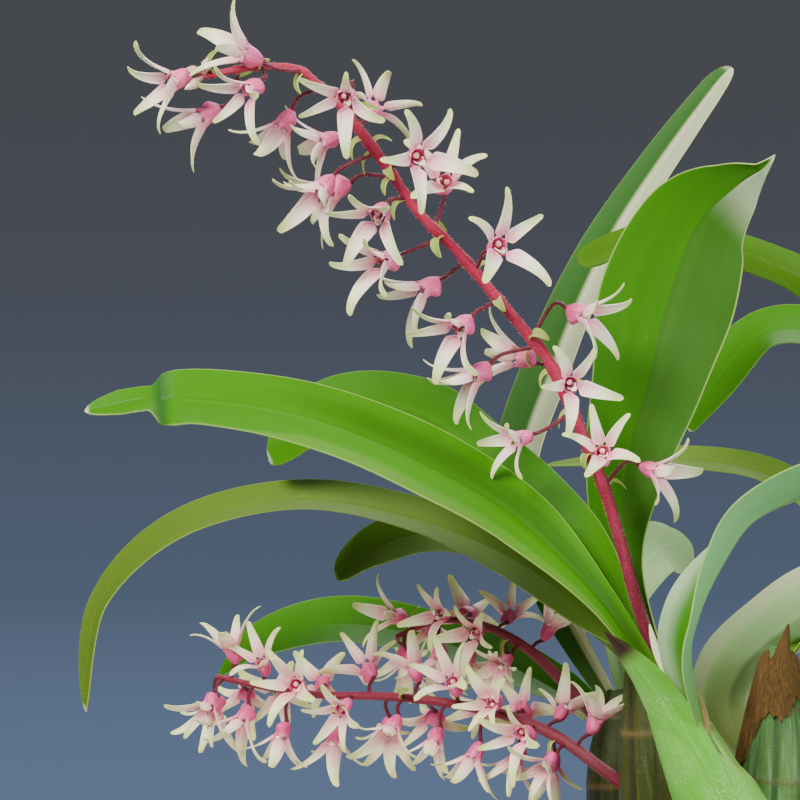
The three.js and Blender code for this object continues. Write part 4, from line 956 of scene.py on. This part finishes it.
def sleeve(skin, name, foot, edge, spare, thick, ripple=0.0, rings=60, around=96):
    """A thin sleeve over a pseudobulb, from an uneven foot up to an uneven edge. Both are given
    as shares of its length for every angle round it."""
    angle = np.linspace(0, 2 * math.pi, around)
    grow = np.linspace(0, 1, rings)[:, None]
    path = along(BULBS[name], np.linspace(0, 1, SLEEVE_STEPS))
    _, side, other = frames(path[:, :3])
    low, high = foot(path, side, other, angle), edge(path, side, other, angle)
    share = low[None, :] + (high - low)[None, :] * grow
    spot = np.clip(share, 0, 1) * (SLEEVE_STEPS - 1)

    def at(column):
        return np.interp(spot, np.arange(SLEEVE_STEPS), column)
    centre, east, north = (np.stack([at(part[:, k]) for k in range(3)], -1)
                           for part in (path, side, other))
    radius = (at(path[:, 3]) + spare + thick / 2 + 0.5 * grow ** 6
              + ripple * np.sin(9 * angle + 14 * share) * grow)
    middle = (centre + east * (radius * np.cos(angle))[..., None]
              + north * (radius * np.sin(angle))[..., None])
    sheet(skin, middle[:, ::-1], thick, along=grow, east=np.cos(angle)[::-1] * 1.0,
          north=np.sin(angle)[::-1] * 1.0, ridge=np.sin(26 * angle[::-1]))


def flap(skin, rows, facing, curl, thick, rings=50, across=19, **values):
    """A free pointed tip that follows rows of [x, y, z, width] and hugs what is behind it."""
    t = np.linspace(0, 1, rings)
    s = np.linspace(1, -1, across)
    line = along(rows, t)
    ahead = heading(rows, t)
    up = unit(np.array(facing, float) - ahead * (np.array(facing, float) * ahead).sum(1)[:, None])
    side = np.cross(ahead, up)
    lean = math.radians(curl) * s
    bow = line[:, 3:] / 2 / math.radians(curl)
    middle = (line[:, None, :3] + side[:, None] * (bow * np.sin(lean))[..., None]
              + up[:, None] * (bow * (1 - np.cos(lean)))[..., None])
    sheet(skin, middle, thick * (1 - 0.5 * t[:, None]), along=0.5 + 0.5 * t[:, None],
          east=s * 0.5, north=0.8, ridge=np.sin(s * 9), dry=1.0, **values)


MOUTH = np.array([-17, -38, 195])
MOUTH_LEAN = math.radians(42)


def slanted(path, side, other, angle):
    """Where the sheath's slanting mouth cuts each line up the pseudobulb."""
    spots = (path[:, None, :3] + path[:, None, 3:] * (side[:, None] * np.cos(angle)[:, None]
                                                     + other[:, None] * np.sin(angle)[:, None]))
    above = (spots - MOUTH) @ np.array([math.sin(MOUTH_LEAN), 0, math.cos(MOUTH_LEAN)]) > 0
    return np.argmax(above, axis=0) / (SLEEVE_STEPS - 1) + 0.006 * np.sin(7 * angle)


def level(share):
    return lambda path, side, other, angle: share + 0 * angle


green_sheath_skin = Skin()
sleeve(green_sheath_skin, "front", level(0.22), slanted, 0.35, 0.8)
flap(green_sheath_skin, [(-6, -52.6, 166, 16), (-15, -50, 184, 18), (-24, -48.4, 200, 17),
                         (-32, -49.6, 213, 12.5), (-41, -52, 224, 6), (-47, -54.5, 230.5, 0.5)],
     (0.3, 1, 0.2), 44, 0.8)

green_sheath = Finish("sheath_green", Roughness=0.5, Subsurface_Weight=0.1,
                      Subsurface_Scale=0.003, Subsurface_Radius=(0.6, 1.0, 0.3),
                      Specular_IOR_Level=0.22)
sheath_streak = green_sheath.noise(5.0, 6, at=green_sheath.fibre(3.2, 1.4), rough=0.6)
sheath_meal = (green_sheath.noise(2300, 2).rise(0.54, 0.64)
               * green_sheath.noise(70, 4).rise(0.4, 0.6))
sheath_colour = green_sheath.mix(green_sheath.value("along"), paint(56, 158, 2),
                                 paint(104, 172, 56))
sheath_colour = green_sheath.mix(sheath_streak.rise(0.42, 0.7) * 0.15, sheath_colour,
                                 paint(154, 204, 124))
sheath_colour = green_sheath.mix(green_sheath.value("ridge").rise(0.5, 1.0) * 0.25, sheath_colour,
                                 paint(74, 134, 34))
sheath_colour = green_sheath.mix(sheath_meal * 0.26, sheath_colour, paint(226, 238, 210))
sheath_dry = (green_sheath.value("along") + sheath_streak * 0.05).rise(0.86, 0.92)
sheath_dry = sheath_dry * green_sheath.value("dry")
sheath_rim = green_sheath.value("along").rise(0.965, 1.0) * 0.6
sheath_colour = green_sheath.mix(sheath_rim, sheath_colour, paint(150, 150, 92))
sheath_colour = green_sheath.mix(sheath_dry, sheath_colour, green_sheath.mix(
    sheath_streak.rise(0.4, 0.6), paint(20, 12, 4), paint(70, 46, 20)))
green_sheath.set(Base_Color=sheath_colour, Roughness=sheath_meal * 0.2 + 0.42)
green_sheath.bump(sheath_streak * 0.6 + green_sheath.noise(1000, 3) * 0.4, 0.0005)
settle(green_sheath_skin.mesh("sheath_green", green_sheath), "sheath_green", "sheath_front")


def torn_edge(path, side, other, angle):
    return (0.93 + 0.025 * np.sin(3 * angle + 1) + 0.02 * np.sin(11 * angle)
            + 0.012 * np.sin(23 * angle + 2))


def hanging_edge(path, side, other, angle):
    """It hangs lowest on the side that the photograph shows, and in strips all round."""
    low = np.exp(-((angle - 2.0) / 0.8) ** 2)
    return 0.7 - 0.2 * low + 0.03 * np.sin(5 * angle) + 0.02 * np.abs(np.sin(13 * angle))


brown_skin = Skin()
sleeve(brown_skin, "sheathed", hanging_edge, torn_edge, 0.4, 0.7, 0.5, 90, 160)
flap(brown_skin, [(22, 0, 188, 13), (22, 0.2, 200, 12), (22.5, 1, 212, 8), (25, 3, 225.5, 0.6)],
     (0, 1, 0.1), 55, 0.7)
flap(brown_skin, [(28, 9, 186, 13), (28, 9, 198, 11), (27, 9, 209, 7), (24, 8, 219, 0.6)],
     (-1, -0.1, 0.1), 55, 0.6)
flap(brown_skin, [(-11.5, -46, 184, 2), (-9.8, -45.5, 194, 3.4), (-11.5, -44, 203, 2.6),
                  (-14.5, -43, 210, 0.5)], (-0.4, 1, 0.1), 50, 0.6, tan=1.0)

papery = Finish("sheath_dry", Roughness=0.75, Specular_IOR_Level=0.25)
paper_streak = papery.noise(5.0, 7, at=papery.fibre(4.0, 1.6), rough=0.65)
paper_colour = papery.add("ShaderNodeValToRGB", {"stops": [
    (0.3, paint(76, 52, 24)), (0.45, paint(104, 76, 36)), (0.58, paint(128, 94, 50)),
    (0.72, paint(168, 132, 84))]}, paper_streak)
paper_colour = papery.mix(papery.noise(55, 4).rise(0.5, 0.7) * 0.5, paper_colour,
                          paint(64, 40, 20))
paper_colour = papery.mix(papery.value("tan") * 0.8, paper_colour, papery.mix(
    paper_streak.rise(0.4, 0.6), paint(150, 132, 70), paint(196, 182, 118)))
papery.set(Base_Color=paper_colour, Roughness=paper_streak * 0.25 + 0.6)
papery.bump(paper_streak * 0.6 + papery.noise(500, 3) * 0.3, 0.0006)
settle(brown_skin.mesh("sheath_brown", papery), "sheath_dry", "sheath_brown")


# Flower spike. A red rachis with fine pale hairs leaves the front pseudobulb and nods at its tip.
# Each bloom hangs on a thin dark red stalk with a yellow-green bract at its foot.
SPIKE = [
    (-21, -39, 204), (-29, -41, 222), (-35, -42, 240), (-40.5, -41, 260), (-46.5, -39, 280),
    (-55, -38, 301), (-66, -37, 325), (-77, -36, 339), (-88, -36, 352), (-100, -36, 366),
    (-113, -36, 379), (-125, -36, 396), (-140, -36, 416), (-149, -36, 425), (-158, -36, 431),
    (-174, -36, 431), (-190, -36, 428),
]
# Blooms of the spike: where the stalk leaves the rachis, the bloom's foot, the way it looks
# (yaw to the right, pitch up, turn clockwise), its size and how far it opens, in degrees.
# The rows repeat the CAD's. A search by program set them, so that the blooms clear each other.
BLOOMS = [
    (0.853, (-169, -44, 433), -70, 25, 55, 1, 40),
    (0.982, (-195, -38, 428), -60, -15, -120, 1, 45),
    (0.951, (-185, -28, 417), -80, -30, 135, 1, 45),
    (0.92, (-170, -44, 426), -45, -30, -60, 0.9, 52),
    (0.802, (-159, -26, 416), -90, -60, -60, 1, 45),
    (0.74, (-138, -46, 423), -15, -30, -45, 0.9, 54),
    (0.71, (-132, -26, 413), 135, 45, -45, 0.9, 66),
    (0.718, (-142, -22, 407), -85, -20, 55, 0.9, 56),
    (0.702, (-144, -41, 392), -45, -35, 25, 1, 41),
    (0.673, (-138, -31, 390), -85, -30, 190, 1, 45),
    (0.647, (-125, -44, 382), -30, -30, 0, 1, 45),
    (0.585, (-121, -37, 364), -50, -15, -20, 1, 40),
    (0.545, (-106, -30, 355), -75, -30, -15, 1, 45),
    (0.48, (-95, -44, 342), -45, -30, -15, 1, 45),
    (0.4, (-88, -38, 325), -75, -35, 0, 1, 41),
    (0.368, (-71, -27, 325), -90, 15, 150, 1, 45),
    (0.33, (-73, -41, 300), -60, -15, -90, 0.85, 52),
    (0.35, (-61, -49, 319), 15, 0, -30, 0.85, 56),
    (0.288, (-48, -50, 292), 0, 30, -15, 0.85, 50),
    (0.253, (-34, -45, 289), 60, -15, -60, 0.9, 46),
    (0.413, (-60, -40, 345), 60, -15, 0, 1, 45),
    (0.527, (-88, -44, 366), 30, 15, 0, 1, 54),
    (0.682, (-117, -44, 399), 30, 0, -30, 1, 60),
    (0.6, (-104, -30, 387), 0, 30, 80, 1, 42),
]
RACHIS_BASE = 2.55
RACHIS_FOOT = 0.3
RACHIS_TIP = 1.1
STALK = 0.8
BRACT_LENGTH = 9
BRACT_WIDTH = 3.3


def stance(yaw, pitch, turn):
    """The way a bloom looks, its upper side and its right-hand side."""
    yaw, pitch, turn = (math.radians(angle) for angle in (yaw, pitch, turn))
    ahead = np.array([math.sin(yaw) * math.cos(pitch), -math.cos(yaw) * math.cos(pitch),
                      math.sin(pitch)])
    right = np.array([math.cos(yaw), math.sin(yaw), 0])
    up = np.cross(ahead, right)
    return (ahead, up * math.cos(turn) + right * math.sin(turn),
            right * math.cos(turn) - up * math.sin(turn))


def turned_about(vector, axis, degrees):
    angle = math.radians(degrees)
    return (vector * math.cos(angle) + np.cross(axis, vector) * math.sin(angle)
            + axis * axis.dot(vector) * (1 - math.cos(angle)))


def sideways(line, t, towards, degrees):
    """The way a line goes at t, and a direction out of it, part of the way round."""
    ahead = heading(line, t)[0]
    out = unit(towards - ahead * towards.dot(ahead))
    return ahead, turned_about(out, ahead, degrees)


def stalk(skin, start, middle, end, radius=STALK):
    """The thin stalk of a bloom, which swells a little into the ovary behind it."""
    t = np.linspace(0, 1, 22)
    path = along([start, middle, end], t)
    swell = 1 - 0.12 * np.sin(t * math.pi) + 0.45 * np.clip((t - 0.78) / 0.22, 0, 1) ** 2
    tube(skin, path, radius * swell, 10, stalk=1.0)


def bract(skin, start, ahead, out, size):
    """A boat-shaped bract. It stands out from the rachis, bends back a little and is pointed."""
    length = BRACT_LENGTH * size
    rows = [start, start + out * length * 0.3 + ahead * length * 0.1,
            start + out * length * 0.56 + ahead * length * 0.04,
            start + out * length * 0.76 - ahead * length * 0.14,
            start + out * length * 0.9 - ahead * length * 0.4]
    t = np.linspace(0, 1, 20)
    s = np.linspace(1, -1, 9)
    line = along(rows, t)
    way = heading(rows, t)
    lit = ahead * (1 - 0.6 * t[:, None]) + out * (0.3 + 0.5 * t[:, None]) + np.array([0, -0.5, 0])
    up = unit(lit - way * (way * lit).sum(1, keepdims=True))
    side = np.cross(way, up)
    half = BRACT_WIDTH * size / 2 * np.sin(np.clip(0.2 + 0.8 * t, 0, 1) * math.pi) ** 0.7
    half = np.maximum(half, 0.12)
    middle = (line[:, None] + side[:, None] * (half[:, None] * s)[..., None]
              + up[:, None] * (0.3 * half[:, None] * s * s)[..., None])
    sheet(skin, middle, 0.35, along=t[:, None], across=s[None, :])


BUDS = [(-4, 3, 2), (1, -3, 4), (-4, -4, -3)]
stem_skin = Skin()
spike_share = np.linspace(0, 1, 320)
spike_path = along(SPIKE, spike_share)
spike_radius = RACHIS_BASE + (RACHIS_TIP - RACHIS_BASE) * spike_share
spike_radius = spike_radius - RACHIS_FOOT * (1 - spike_share / 0.3).clip(0)
for start, *_ in BLOOMS:
    spike_radius = spike_radius + 0.35 * np.exp(-((spike_share - start) / 0.008) ** 2)
tube(stem_skin, spike_path, spike_radius, 20,
     lambda angle, share: 1 + 0.03 * np.sin(5 * angle + 6 * share))
bract_skin = Skin()
for number, (start, back, yaw, pitch, turn, size, opening) in enumerate(BLOOMS):
    root = along(SPIKE, start)[0]
    look = stance(yaw, pitch, turn)[0]
    end = np.array(back) - look * 0.05
    before = end - look * 0.35 * np.linalg.norm(end - root)
    stalk(stem_skin, root, before, end)
    way, out = sideways(SPIKE, start, np.array(back) - root, 50 if number % 2 else -50)
    bract(bract_skin, root, way, out, 0.9 + 0.3 * (number % 3) / 2)
flap(bract_skin, [(-25.4, -44, 214, 0.6), (-26.4, -44.4, 218, 2.4), (-28, -44.6, 223, 3.0),
                  (-29.4, -44.6, 228, 2.2), (-30.4, -44.2, 232, 0.5)], (-0.5, 1, 0), 40, 0.5,
     pale=1.0)
bud_share = np.linspace(0, 1, 20)
bud_radius = along([[0.7], [1.0], [1.9], [0.25]], bud_share)[:, 0]
for way in BUDS:
    path = along([np.array(SPIKE[-1]) + np.array(way) * out for out in (0, 0.5, 1.0, 1.6)],
                 bud_share)
    tube(stem_skin, path, bud_radius, 12, bud=bud_share[:, None])

spike_red = Finish("spike_red", Roughness=0.42, Subsurface_Weight=0.12, Subsurface_Scale=0.002,
                   Subsurface_Radius=(1.0, 0.3, 0.25), Specular_IOR_Level=0.4)
red_streak = spike_red.noise(5.0, 5, at=spike_red.fibre(2.4, 8), rough=0.6)
red_base = spike_red.mix(spike_red.value("along").rise(0.1, 0.4), paint(104, 12, 36),
                         paint(156, 8, 56))
red_base = spike_red.mix(red_streak.rise(0.5, 0.66) * 0.4, red_base, paint(206, 66, 108))
red_stalk = spike_red.mix(red_streak, paint(70, 6, 24), paint(118, 18, 44))
red_colour = spike_red.mix(spike_red.value("stalk"), red_base, red_stalk)
red_colour = spike_red.mix(spike_red.value("bud") * 1.2, red_colour, paint(234, 214, 190))
spike_red.set(Base_Color=red_colour, Roughness=red_streak * 0.3 + 0.28)
spike_red.bump(red_streak * 0.5 + spike_red.noise(1500, 3) * 0.7, 0.0004)

bract_green = Finish("bract_green", Roughness=0.45, Subsurface_Weight=0.2, Subsurface_Scale=0.002,
                     Subsurface_Radius=(0.8, 1.0, 0.2))
bract_vein = (bract_green.value("across") * 24.0).run("COSINE")
bract_tone = bract_green.mix(bract_green.noise(120, 3), paint(164, 202, 72), paint(204, 226, 118))
bract_tone = bract_green.mix(bract_green.value("along").rise(0.9, 0.0) * 0.3, bract_tone,
                             paint(232, 226, 150))
bract_tone = bract_green.mix(bract_green.value("pale"), bract_tone, paint(236, 236, 186))
bract_green.set(Base_Color=bract_green.shade(bract_tone, bract_vein * 0.07 + 0.94))
bract_green.bump(bract_vein, 0.0002)
stem_mesh = stem_skin.mesh("spike_stem", spike_red)
settle(stem_mesh, "spike", "flower_spike")
settle(bract_skin.mesh("spike_bracts", bract_green), "spike")


def hair_grower():
    """Short tapering hairs that stand out of a surface, each leaning its own way."""
    grower = Grower("hairs")
    geometry = Wire(grower, grower.start.outputs["Geometry"])
    density = grower.input("Density")
    length = grower.input("Length")
    thick = grower.input("Thickness")
    lean = grower.input("Lean")
    seed = grower.input("Seed", "NodeSocketInt")
    material = grower.input("Material", "NodeSocketMaterial")
    spread = grower.add("GeometryNodeDistributePointsOnFaces", None, geometry, Seed=seed)
    node = spread.socket.node
    grower.feed(node.inputs["Density"], density)
    hair = grower.add("GeometryNodeMeshCone", {"fill_type": "NONE"}, Vertices=3, Radius_Top=0.0,
                      Radius_Bottom=thick, Depth=length)
    tilt = grower.add("FunctionNodeRandomValue", {"data_type": "FLOAT_VECTOR"},
                      (-1.0, -1.0, 0.0), (1.0, 1.0, 3.0), Seed=seed)
    tilt_by = grower.scaled(tilt, lean)
    grow = grower.add("FunctionNodeRandomValue", {"data_type": "FLOAT_VECTOR"},
                      (0.8, 0.8, 0.5), (1.2, 1.2, 1.3), Seed=seed)
    laid = grower.add("GeometryNodeInstanceOnPoints", None, spread, Instance=hair,
                      Rotation=Wire(grower, node.outputs["Rotation"]), Scale=grow)
    leaning = grower.add("GeometryNodeRotateInstances", None, laid, Rotation=tilt_by)
    grower.finish(leaning, material)
    return grower


hair = Finish("hair", Roughness=0.5, Subsurface_Weight=0.2, Subsurface_Scale=0.001)
hair.set(Base_Color=hair.mix(hair.noise(300, 2), paint(212, 108, 120), paint(242, 196, 188)))
hairs = hair_grower()
hair_mesh = hairs.grow(stem_mesh.copy(), "spike_hairs", Density=1.0e6, Length=0.0007,
                       Thickness=0.00005, Lean=0.5, Seed=9, Material=hair.material)
settle(hair_mesh, "spike")


# Blooms. Each has three narrow sepals and two narrower petals, fleshy and recurved at their tips,
# that join in a pink cup with a chin below, and inside it a short column and a small lip.
TEPALS = [(0, 20, 5.8), (58, 19, 5.0), (140, 22, 7.0), (220, 22, 7.0), (302, 19, 5.0)]
TEPAL_SPREAD = ([0, 0.1, 0.3, 0.55, 0.8, 1], [1, 1, 0.94, 0.77, 0.52, 0.32])
TEPAL_THICK = 0.55
RIM = 5.8
RIM_RADIUS = 2.7
CUP = ([0, 0.25, 0.6, 1], [1.1, 2.1, 2.9, 3.1])
CUP_SECTOR = 44
CHIN = 2.2


def bloom(skin, back, yaw, pitch, turn, size=1.0, opening=46, seed=1, fine=1.0):
    """One bloom. Each tepal runs from the cup's foot over its rim out to a blunt tip."""
    draw = seeded(seed)
    curl_draw = seeded(seed * 13 + 5)
    ahead, top, side = stance(yaw, pitch, turn)
    origin = np.array(back, float)

    def outward(degrees):
        angle = np.radians(np.asarray(degrees, float))[..., None]
        return top * np.cos(angle) + side * np.sin(angle)
    rings = max(8, int(30 * fine))
    across = max(5, int(9 * fine) // 2 * 2 + 1)
    s = np.linspace(1, -1, across)
    v = np.linspace(0, 1, rings)
    u = np.linspace(0, 1, max(4, int(8 * fine)))[:-1]
    for at, length, width in TEPALS:
        out = outward(at + 9 * (draw() - 0.5))
        lean = opening + 14 * (draw() - 0.5)
        length = length * (0.94 + 0.12 * draw()) * size
        curl = 10 + 36 * curl_draw()
        bow = 2.6 * (curl_draw() - 0.5)
        twist = 30 * (curl_draw() - 0.5)
        slant = np.radians(lean + 39 * (v - 0.5) + curl * ((v - 0.55) / 0.45).clip(0) ** 2)
        step = length / (rings - 1)
        run = np.concatenate([[0], np.cumsum(np.cos(slant[:-1]) * step)])
        rise = np.concatenate([[0], np.cumsum(np.sin(slant[:-1]) * step)])
        face = ahead * np.sin(slant)[:, None] - out * np.cos(slant)[:, None]
        beside = np.cross(out, ahead)
        angle = np.radians(twist * v)[:, None]
        over = beside * np.cos(angle) + face * np.sin(angle)
        half = width * size / 2 * np.interp(v, *TEPAL_SPREAD)
        half = half * np.sqrt(np.clip(1 - ((v - 0.93) / 0.07).clip(0) ** 2, 0.01, 1))
        dish = (0.24 * (1 - 0.8 * v) * half)[:, None] * s * s - 0.12 * half[:, None] * (1 - s * s)
        spine = (origin + ahead * (RIM * size + run)[:, None]
                 + out * (RIM_RADIUS * size + rise)[:, None]
                 + beside * (bow * size * np.sin(v * math.pi * 0.9))[:, None])
        free = (spine[:, None] + over[:, None] * (half[:, None] * s)[..., None]
                + face[:, None] * dish[..., None])
        turn_to = at - CUP_SECTOR * s
        around = outward(turn_to)
        wide = np.interp(u, *CUP) * size
        chin = (CHIN * size * np.sin(np.clip(u * 1.1, 0, 1) * math.pi)[:, None]
                * np.clip(-np.cos(np.radians(turn_to)), 0, 1))
        cup = (origin + ahead * (u * RIM * size)[:, None, None]
               + around[None] * wide[:, None, None] - top * chin[..., None])
        blend = eased(v / 0.2)[:, None, None]
        mouth = (origin + ahead * (RIM * size + run)[:, None, None]
                 + around[None] * (CUP[1][-1] * size + rise * 0.85)[:, None, None])
        body = np.concatenate([cup, mouth * (1 - blend) + free * blend])
        reach = np.concatenate([-1 + u, v])[:, None]
        uneven = 0.05 * np.sin(s * 7 + at)
        blush = np.clip(1 - (reach + uneven) / 0.62, 0, 1) ** 1.1
        thick = TEPAL_THICK * size * (1 - 0.45 * s * s) * (1 - 0.3 * np.clip(reach, 0, 1))
        sheet(skin, body, thick, blush=blush, green=np.clip((reach - 0.3) / 0.7, 0, 1),
              reach=reach, across=s[None, :])
    around = max(8, int(14 * fine))
    t = np.linspace(0, 1, max(5, int(10 * fine)))
    column = (origin + ahead * ((1.5 + 5.6 * t) * size)[:, None]
              + top * ((0.5 + 0.5 * t) * size)[:, None])
    tube(skin, column, size * np.interp(t, [0, 0.7, 0.88, 1], [0.9, 1.0, 1.25, 0.5]), around,
         blush=0.55, anther=np.clip((t - 0.74) / 0.1, 0, 1)[:, None])
    foot = (origin + ahead * ((1.0 + 3.2 * t) * size)[:, None]
            - top * ((1.2 + 1.0 * t) * size)[:, None])
    tube(skin, foot, 0.8 * size, around, blush=0.8)
    v = np.linspace(0, 1, max(8, int(16 * fine)))
    half = size * np.interp(v, [0, 0.3, 0.5, 0.62, 0.8, 1], [0.7, 1.8, 2.0, 1.1, 1.3, 0.2])
    lift = np.interp(v, [0, 0.3, 0.55, 0.8, 1], [0.5, 1.0, 0.5, 0.0, 0.0])
    spine = (origin + ahead * ((4.2 + 5.6 * v - 1.2 * v ** 3) * size)[:, None]
             - top * ((1.9 + 0.2 * np.sin(v * 3) + 4.5 * (v - 0.6).clip(0) ** 1.5)
                      * size)[:, None])
    lip = (spine[:, None] + side * (half[:, None] * s)[..., None]
           + top * (lift[:, None] * half[:, None] * s * s)[..., None])
    spots = (np.exp(-((np.abs(s)[None, :] - 0.6) / 0.22) ** 2)
             * np.exp(-((v[:, None] - 0.42) / 0.12) ** 2))
    sheet(skin, lip, 0.45 * size, blush=np.clip(1 - (v[:, None] - 0.3) / 0.3, 0, 1) * 0.7,
          deep=spots, callus=np.exp(-((v[:, None] - 0.8) / 0.16) ** 2) * (1 - s * s))


def petal_finish(name, cream, pink):
    """Fleshy, sparkling tissue, from a pink foot to a greenish tip."""
    finish = Finish(name, Roughness=0.45, Subsurface_Weight=0.22, Subsurface_Scale=0.002,
                    Subsurface_Radius=(1.0, 0.88, 0.68), Specular_IOR_Level=0.4)
    grain = finish.noise(520, 3, rough=0.6)
    sparkle = finish.cells(2100)
    blush = finish.value("blush")
    reach = finish.value("reach")
    colour = finish.mix(finish.value("green").rise(0.0, 0.9) * 0.85, cream, paint(200, 214, 116))
    colour = finish.shade(colour, sparkle * 0.25 + 0.92)
    soft = (blush * (grain * 0.6 + 0.7)).held()
    colour = finish.mix(soft, colour, pink)
    colour = finish.mix(reach.rise(0.0, -0.5) * 0.45, colour, paint(216, 56, 122))
    vein = (finish.value("across") * 11.0).run("COSINE").rise(0.5, 1.0)
    colour = finish.mix(vein * blush * 0.45, colour, paint(204, 44, 112))
    colour = finish.mix(finish.value("anther") * 0.7, colour, paint(240, 180, 170))
    colour = finish.mix(finish.value("callus") * 0.8, colour, paint(250, 230, 200))
    colour = finish.mix(finish.value("deep").rise(0.4, 0.6), colour, paint(140, 10, 30))
    finish.set(Base_Color=colour, Roughness=sparkle * 0.35 + 0.3)
    finish.bump(sparkle * 0.7 + grain * 0.3, 0.00012)
    return finish


petal = petal_finish("petal", paint(255, 254, 226), paint(238, 104, 158))
for number, (start, back, yaw, pitch, turn, size, opening) in enumerate(BLOOMS, 1):
    skin = Skin()
    bloom(skin, back, yaw, pitch, turn, size, opening, number)
    settle(skin.mesh(f"bloom_petals_{number}", petal), "bloom", f"bloom_{number}")


# Flower sprays. Two smaller spikes, low on the left and behind, packed with the same blooms
# all round a dark red rachis, each on a short stalk and hanging a little.
SPRAYS = {
    "low": dict(
        line=[(-26, -5, 158), (-45, -2, 172), (-60, 5, 182), (-78, 12, 189), (-100, 18, 193),
              (-124, 23, 195), (-152, 28, 195), (-174, 31, 198), (-190, 34, 201)],
        count=15, first=0.2, reach=9, size=0.9, seed=40),
    "far": dict(
        line=[(-38, 42, 176), (-54, 44, 194), (-69, 51, 208), (-86, 57, 217), (-104, 62, 219),
              (-121, 66, 212)],
        count=7, first=0.4, reach=8, size=0.85, seed=70),
}
GOLDEN_ANGLE = 137.5
DROOP = 0.5


def spray(line, count, first, reach, size, seed):
    """Blooms all round a line: those of the frame's own draw, and a second one between each two."""
    flowers, stems, bracts = Skin(), Skin(), Skin()
    share = np.linspace(0, 1, 120)
    tube(stems, along(line, share), RACHIS_BASE + (RACHIS_TIP - RACHIS_BASE) * share, 14,
         lambda angle, s: 1 + 0.04 * np.sin(5 * angle + 6 * s), stalk=0.7)
    main, extra = seeded(seed), seeded(seed + 500)
    for number in range(2 * count - 1):
        draw = extra if number % 2 else main
        place = number / 2
        t = first + (1 - first) * place / (count - 1)
        start = along(line, t)[0]
        swing = place * GOLDEN_ANGLE + 20 * draw() + (180 if number % 2 else 0)
        way, out = sideways(line, t, np.array([0, 0, 1.0]), swing)
        look = out + way * 0.35
        look[2] -= DROOP
        look = unit(look)
        away = out * reach * (0.85 + 0.3 * draw())
        away[2] -= reach * DROOP * 0.5
        foot = start + away
        yaw = math.degrees(math.atan2(look[0], -look[1]))
        pitch = math.degrees(math.asin(look[2]))
        bloom(flowers, foot, yaw, pitch, 360 * draw(), size * (0.9 if number % 2 else 1), 46,
              seed + number // 2 + 200 * (number % 2), 0.7)
        stalk(stems, start, (start + foot) / 2 + way * 1.2, foot)
        if number % 4 == 2:
            bract(bracts, start, way, turned_about(out, way, 60), 1.0)
    return flowers, stems, bracts


spray_petal = petal_finish("spray_petal", paint(255, 252, 216), paint(230, 88, 146))
for name, line in SPRAYS.items():
    flowers, stems, bracts = spray(**line)
    settle(flowers.mesh("spray_blooms_" + name, spray_petal), "spray", "flower_spray_" + name)
    settle(stems.mesh("spray_stems_" + name, spike_red), "spike")
    settle(bracts.mesh("spray_bracts_" + name, bract_green), "spike")


# Studio. A plain pale floor under the pot, a slate backdrop that is only the world's colour,
# and large soft lights: a key from the upper left, a fill from the right, and one from behind.
FLOOR_RADIUS = 450
floor_skin = Skin()
turned(floor_skin, [(2, -6), (FLOOR_RADIUS, -6), (FLOOR_RADIUS, 0), (2, 0)], 96)
pale = Finish("pale_floor", Roughness=0.8)
pale.set(Base_Color=pale.mix(pale.noise(6, 3), paint(214, 212, 208), paint(222, 220, 216)))
floor = shown("floor", floor_skin.mesh("floor", pale))

world = bpy.data.worlds.new("studio")
world.use_nodes = True
sky = Tree(world.node_tree)
ray = sky.add("ShaderNodeTexCoord", output="Generated")
height = sky.add("ShaderNodeSeparateXYZ", None, ray, output="Z")
shade = sky.add("ShaderNodeValToRGB", {"stops": [
    (0.0, paint(98, 114, 144)), (0.15, paint(82, 96, 117)), (0.65, paint(75, 79, 90)),
    (1.0, paint(73, 75, 79))]}, height.rise(-0.19, 0.06))
sky.feed(world.node_tree.nodes["Background"].inputs["Color"], shade)
world.node_tree.nodes["Background"].inputs["Strength"].default_value = 1.0
bpy.context.scene.world = world


def soft_light(name, place, aim, size, power, colour):
    data = bpy.data.lights.new(name, "AREA")
    data.shape = "DISK"
    data.size = size
    data.energy = power
    data.color = colour
    lamp = shown(name, data)
    lamp.location = place
    lamp.rotation_euler = (Vector(aim) - Vector(place)).to_track_quat("-Z", "Y").to_euler()


MIDDLE = (-0.05, 0, 0.28)
soft_light("key", (-0.9, -1.2, 1.5), MIDDLE, 0.9, 80, (1.0, 0.98, 0.92))
soft_light("fill", (1.3, -1.0, 0.7), MIDDLE, 1.2, 33, (0.95, 0.97, 1.0))
soft_light("back", (0.3, 1.3, 1.4), MIDDLE, 1.4, 28, (1.0, 1.0, 1.0))
